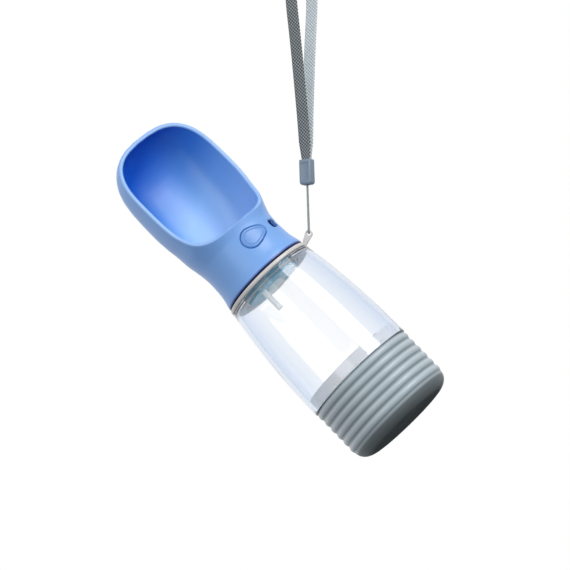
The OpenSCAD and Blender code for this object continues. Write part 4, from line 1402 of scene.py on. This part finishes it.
def cup_profile():
    rib_h = (CUP_H - FOOT_H) / RIBS
    flat_r = FOOT_R - FOOT_ROUND
    points = [(0, BASE_DISH), (flat_r - 3.2, BASE_DISH), (flat_r - 2.2, 0.0)]
    points += [(flat_r + FOOT_ROUND * math.sin(a), FOOT_H - FOOT_H * math.cos(a))
               for a in np.linspace(0, math.pi / 2, 13)]
    for i in range(RIBS * RIB_STEPS):
        swell = (0.5 - 0.5 * math.cos(2 * math.pi * i / RIB_STEPS)) ** RIB_FULLNESS
        points.append((FOOT_R + GROOVE * swell, FOOT_H + rib_h * i / RIB_STEPS))
    wall_in = FOOT_R - CUP_WALL
    points += rounded([(FOOT_R, CUP_H), (COLLAR_R, CUP_H),
                       (COLLAR_R, CUP_H + CUP_COLLAR_H, 0.4),
                       (COLLAR_IN, CUP_H + CUP_COLLAR_H, 0.4), (COLLAR_IN, CUP_H - 0.5),
                       (wall_in, CUP_H - 4)])
    points += [(wall_in - INNER_ROUND + INNER_ROUND * math.sin(a),
                CUP_WALL + INNER_ROUND - INNER_ROUND * math.cos(a))
               for a in np.linspace(math.pi / 2, 0, 9)]
    return points + [(0, CUP_WALL)]

cup = joined("ribbed_food_cup", lathe("cup_wall", cup_profile(), 160, 32),
             thread_ridge(COLLAR_R, 1, CUP_THREAD_Z, CUP_THREAD_TURNS, 0))
settle(cup, "cup", "food_cup", CUP_GREY)

# %% [markdown]
# ## Strap ring
# The ring has a full round edge. Its ear is a tapered arm that stands out and up along the
# strap, with a round hole for the cord. The arm is an outline round two circles. As a
# second mesh it would show a seam, so it is joined to the ring as a solid, and the two read
# as one moulding.

# %% Strap ring
RING_IN, RING_ROUND = 22.7, 1.35
EAR_R, EAR_HALF, EAR_SOFT = 2.4, 1.2, 0.35
EAR_HOLE_R, EAR_FLARE_R = 1.3, 2.3

ear_frame = Matrix.Rotation(EAR_TURN, 4, "Z")

def ear_arm():
    """The ear: thick in the middle and soft at its edges."""
    circles = [(RING_R - 1.2, RING_Z + RING_T / 2, RING_T / 2 - 0.1),
               (EAR_REACH, EAR_Z, EAR_R)]
    flat = EAR_HALF - 0.25
    layers = ((-EAR_HALF, -EAR_SOFT), (-flat, 0.0), (flat, 0.0), (EAR_HALF, -EAR_SOFT))
    return solid_of_rows("ear", [
        [(x, y, z) for x, z in round_outline(circles, grow, 64)] for y, grow in layers],
        ear_frame)

def ear_hole():
    layers = ((-3, EAR_FLARE_R), (-1, EAR_HOLE_R), (1, EAR_HOLE_R), (3, EAR_FLARE_R))
    return solid_of_rows("ear_hole", [
        [(EAR_REACH + x, y, EAR_Z + z) for x, z in circle(radius, 40)]
        for y, radius in layers], ear_frame)

ring_profile = rounded([(RING_IN, RING_Z, 0.2), (RING_R, RING_Z, RING_ROUND),
                        (RING_R, RING_Z + RING_T, RING_ROUND),
                        (RING_IN, RING_Z + RING_T, 0.2)], 10)
ring = carved(lathe("strap_ring", ring_profile, 160, 40), [ear_arm()], 40, "UNION")
ring = carved(ring, [ear_hole()], 40)
settle(ring, "strap_ring", "collar_ring", RING_BEIGE)

# %% [markdown]
# ## Pieces that keep their CAD shape
# The valve, its clip and the silicone seals sit inside, where the CAD shape is right. They
# keep it and their own slots, and only get better finishes.

# %% Finish the inner pieces
def finish_nodes(material, *names):
    for name in names:
        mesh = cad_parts[name].data
        mesh.materials.clear()
        mesh.materials.append(material)
    print(material.name, "on", names)

finish_nodes(VALVE_TEAL, "valve_body", "valve_cover", "valve_rod")
finish_nodes(SILICONE, "cup_gasket", "neck_gasket", "vent_valve", "outlet_tube", "valve_plug")
finish_nodes(TUBE_WHITE, "vent_tube")
finish_nodes(STEEL, "spring_clip")

# %% [markdown]
# ## Floor and backdrop
# The bottle stands on a pale floor. The photograph's view is from just below the base, so
# the floor shows only from above, and it lets light and reflections from below through.
# Far from the bottle it fades into the white of the world, which costs less than a curved
# backdrop and shows no edge.

# %% Floor
FLOOR_HALF, FLOOR_GAP = 3.0, 0.0006
FADE_FROM, FADE_TO = 0.35, 1.9

def pale_floor():
    verts = [(sx * FLOOR_HALF, sy * FLOOR_HALF, -FLOOR_GAP)
             for sx, sy in ((-1, -1), (1, -1), (1, 1), (-1, 1))]
    mesh = bpy.data.meshes.new("studio_floor")
    mesh.from_pydata(verts, [], [(0, 1, 2, 3)])
    material = bpy.data.materials.new("studio_floor")
    material.use_nodes = True
    tree = material.node_tree
    tree.nodes.clear()
    pale = add(tree, "ShaderNodeBsdfDiffuse", Color=(0.86, 0.87, 0.88, 1))
    clear = add(tree, "ShaderNodeBsdfTransparent")
    side = add(tree, "ShaderNodeNewGeometry").outputs
    path = add(tree, "ShaderNodeLightPath").outputs
    away = add(tree, "ShaderNodeVectorMath", {"operation": "LENGTH"}, i0=place_in(tree))
    far = ranged(tree, away.outputs["Value"], FADE_FROM, FADE_TO, smooth=True)
    passing = largest(tree, side["Backfacing"], far, path["Is Shadow Ray"],
                      path["Is Diffuse Ray"])
    mixed = add(tree, "ShaderNodeMixShader", Fac=passing, i1=pale.outputs[0],
                i2=clear.outputs[0])
    add(tree, "ShaderNodeOutputMaterial", Surface=mixed.outputs[0])
    mesh.materials.append(material)
    return put("studio_floor", mesh)

pale_floor()
print("floor", 2 * FLOOR_HALF, "m wide")

# %% [markdown]
# ## Light
# The world is plain white to the camera, to reflections and through clear plastic, and a
# soft even light to everything else, a little darker from below. A picture of a studio could
# light the bottle too, but it would show in the clear plastic. Two large area lamps, one
# from the right and a weak one from the front, give the forms their shade.

# %% World
SKY_STRENGTH, GROUND_STRENGTH = 0.6, 0.18
GROUND_AT, SKY_AT = -0.9, 0.5

def white_world():
    world = bpy.data.worlds.new("studio")
    bpy.context.scene.world = world
    world.use_nodes = True
    tree = world.node_tree
    tree.nodes.clear()
    path = add(tree, "ShaderNodeLightPath").outputs
    seen = largest(tree, path["Is Camera Ray"], path["Is Glossy Ray"],
                   path["Is Transmission Ray"])
    white = add(tree, "ShaderNodeBackground", Color=(1, 1, 1, 1), Strength=1.0)
    parts = add(tree, "ShaderNodeSeparateXYZ", Vector=place_in(tree, "Generated"))
    strength = ranged(tree, parts.outputs["Z"], GROUND_AT, SKY_AT, GROUND_STRENGTH,
                      SKY_STRENGTH, smooth=True)
    soft = add(tree, "ShaderNodeBackground", Color=(0.95, 0.97, 1, 1), Strength=strength)
    mixed = add(tree, "ShaderNodeMixShader", Fac=seen, i1=soft.outputs[0],
                i2=white.outputs[0])
    add(tree, "ShaderNodeOutputWorld", Surface=mixed.outputs[0])
    print("world:", world.name)

white_world()

# %% Lamps
KEY_FROM = level_right + toward_camera * 0.75 + Vector((0, 0, 0.35))
FILL_FROM = toward_camera - level_right * 0.3 + Vector((0, 0, 0.5))

def soft_lamp(name, direction, distance, size, watts):
    """A square area lamp that looks at the bottle's middle from a direction."""
    lamp = bpy.data.lights.new(name, "AREA")
    lamp.shape, lamp.size, lamp.energy = "SQUARE", size, watts
    holder = put(name, lamp)
    away = direction.normalized()
    holder.location = TARGET + away * distance
    holder.rotation_mode = "QUATERNION"
    holder.rotation_quaternion = away.to_track_quat("Z", "Y")
    print("lamp", name, watts, "W")

soft_lamp("key", KEY_FROM, 1.2, 0.7, 8.5)
soft_lamp("fill", FILL_FROM, 1.4, 0.9, 3.0)
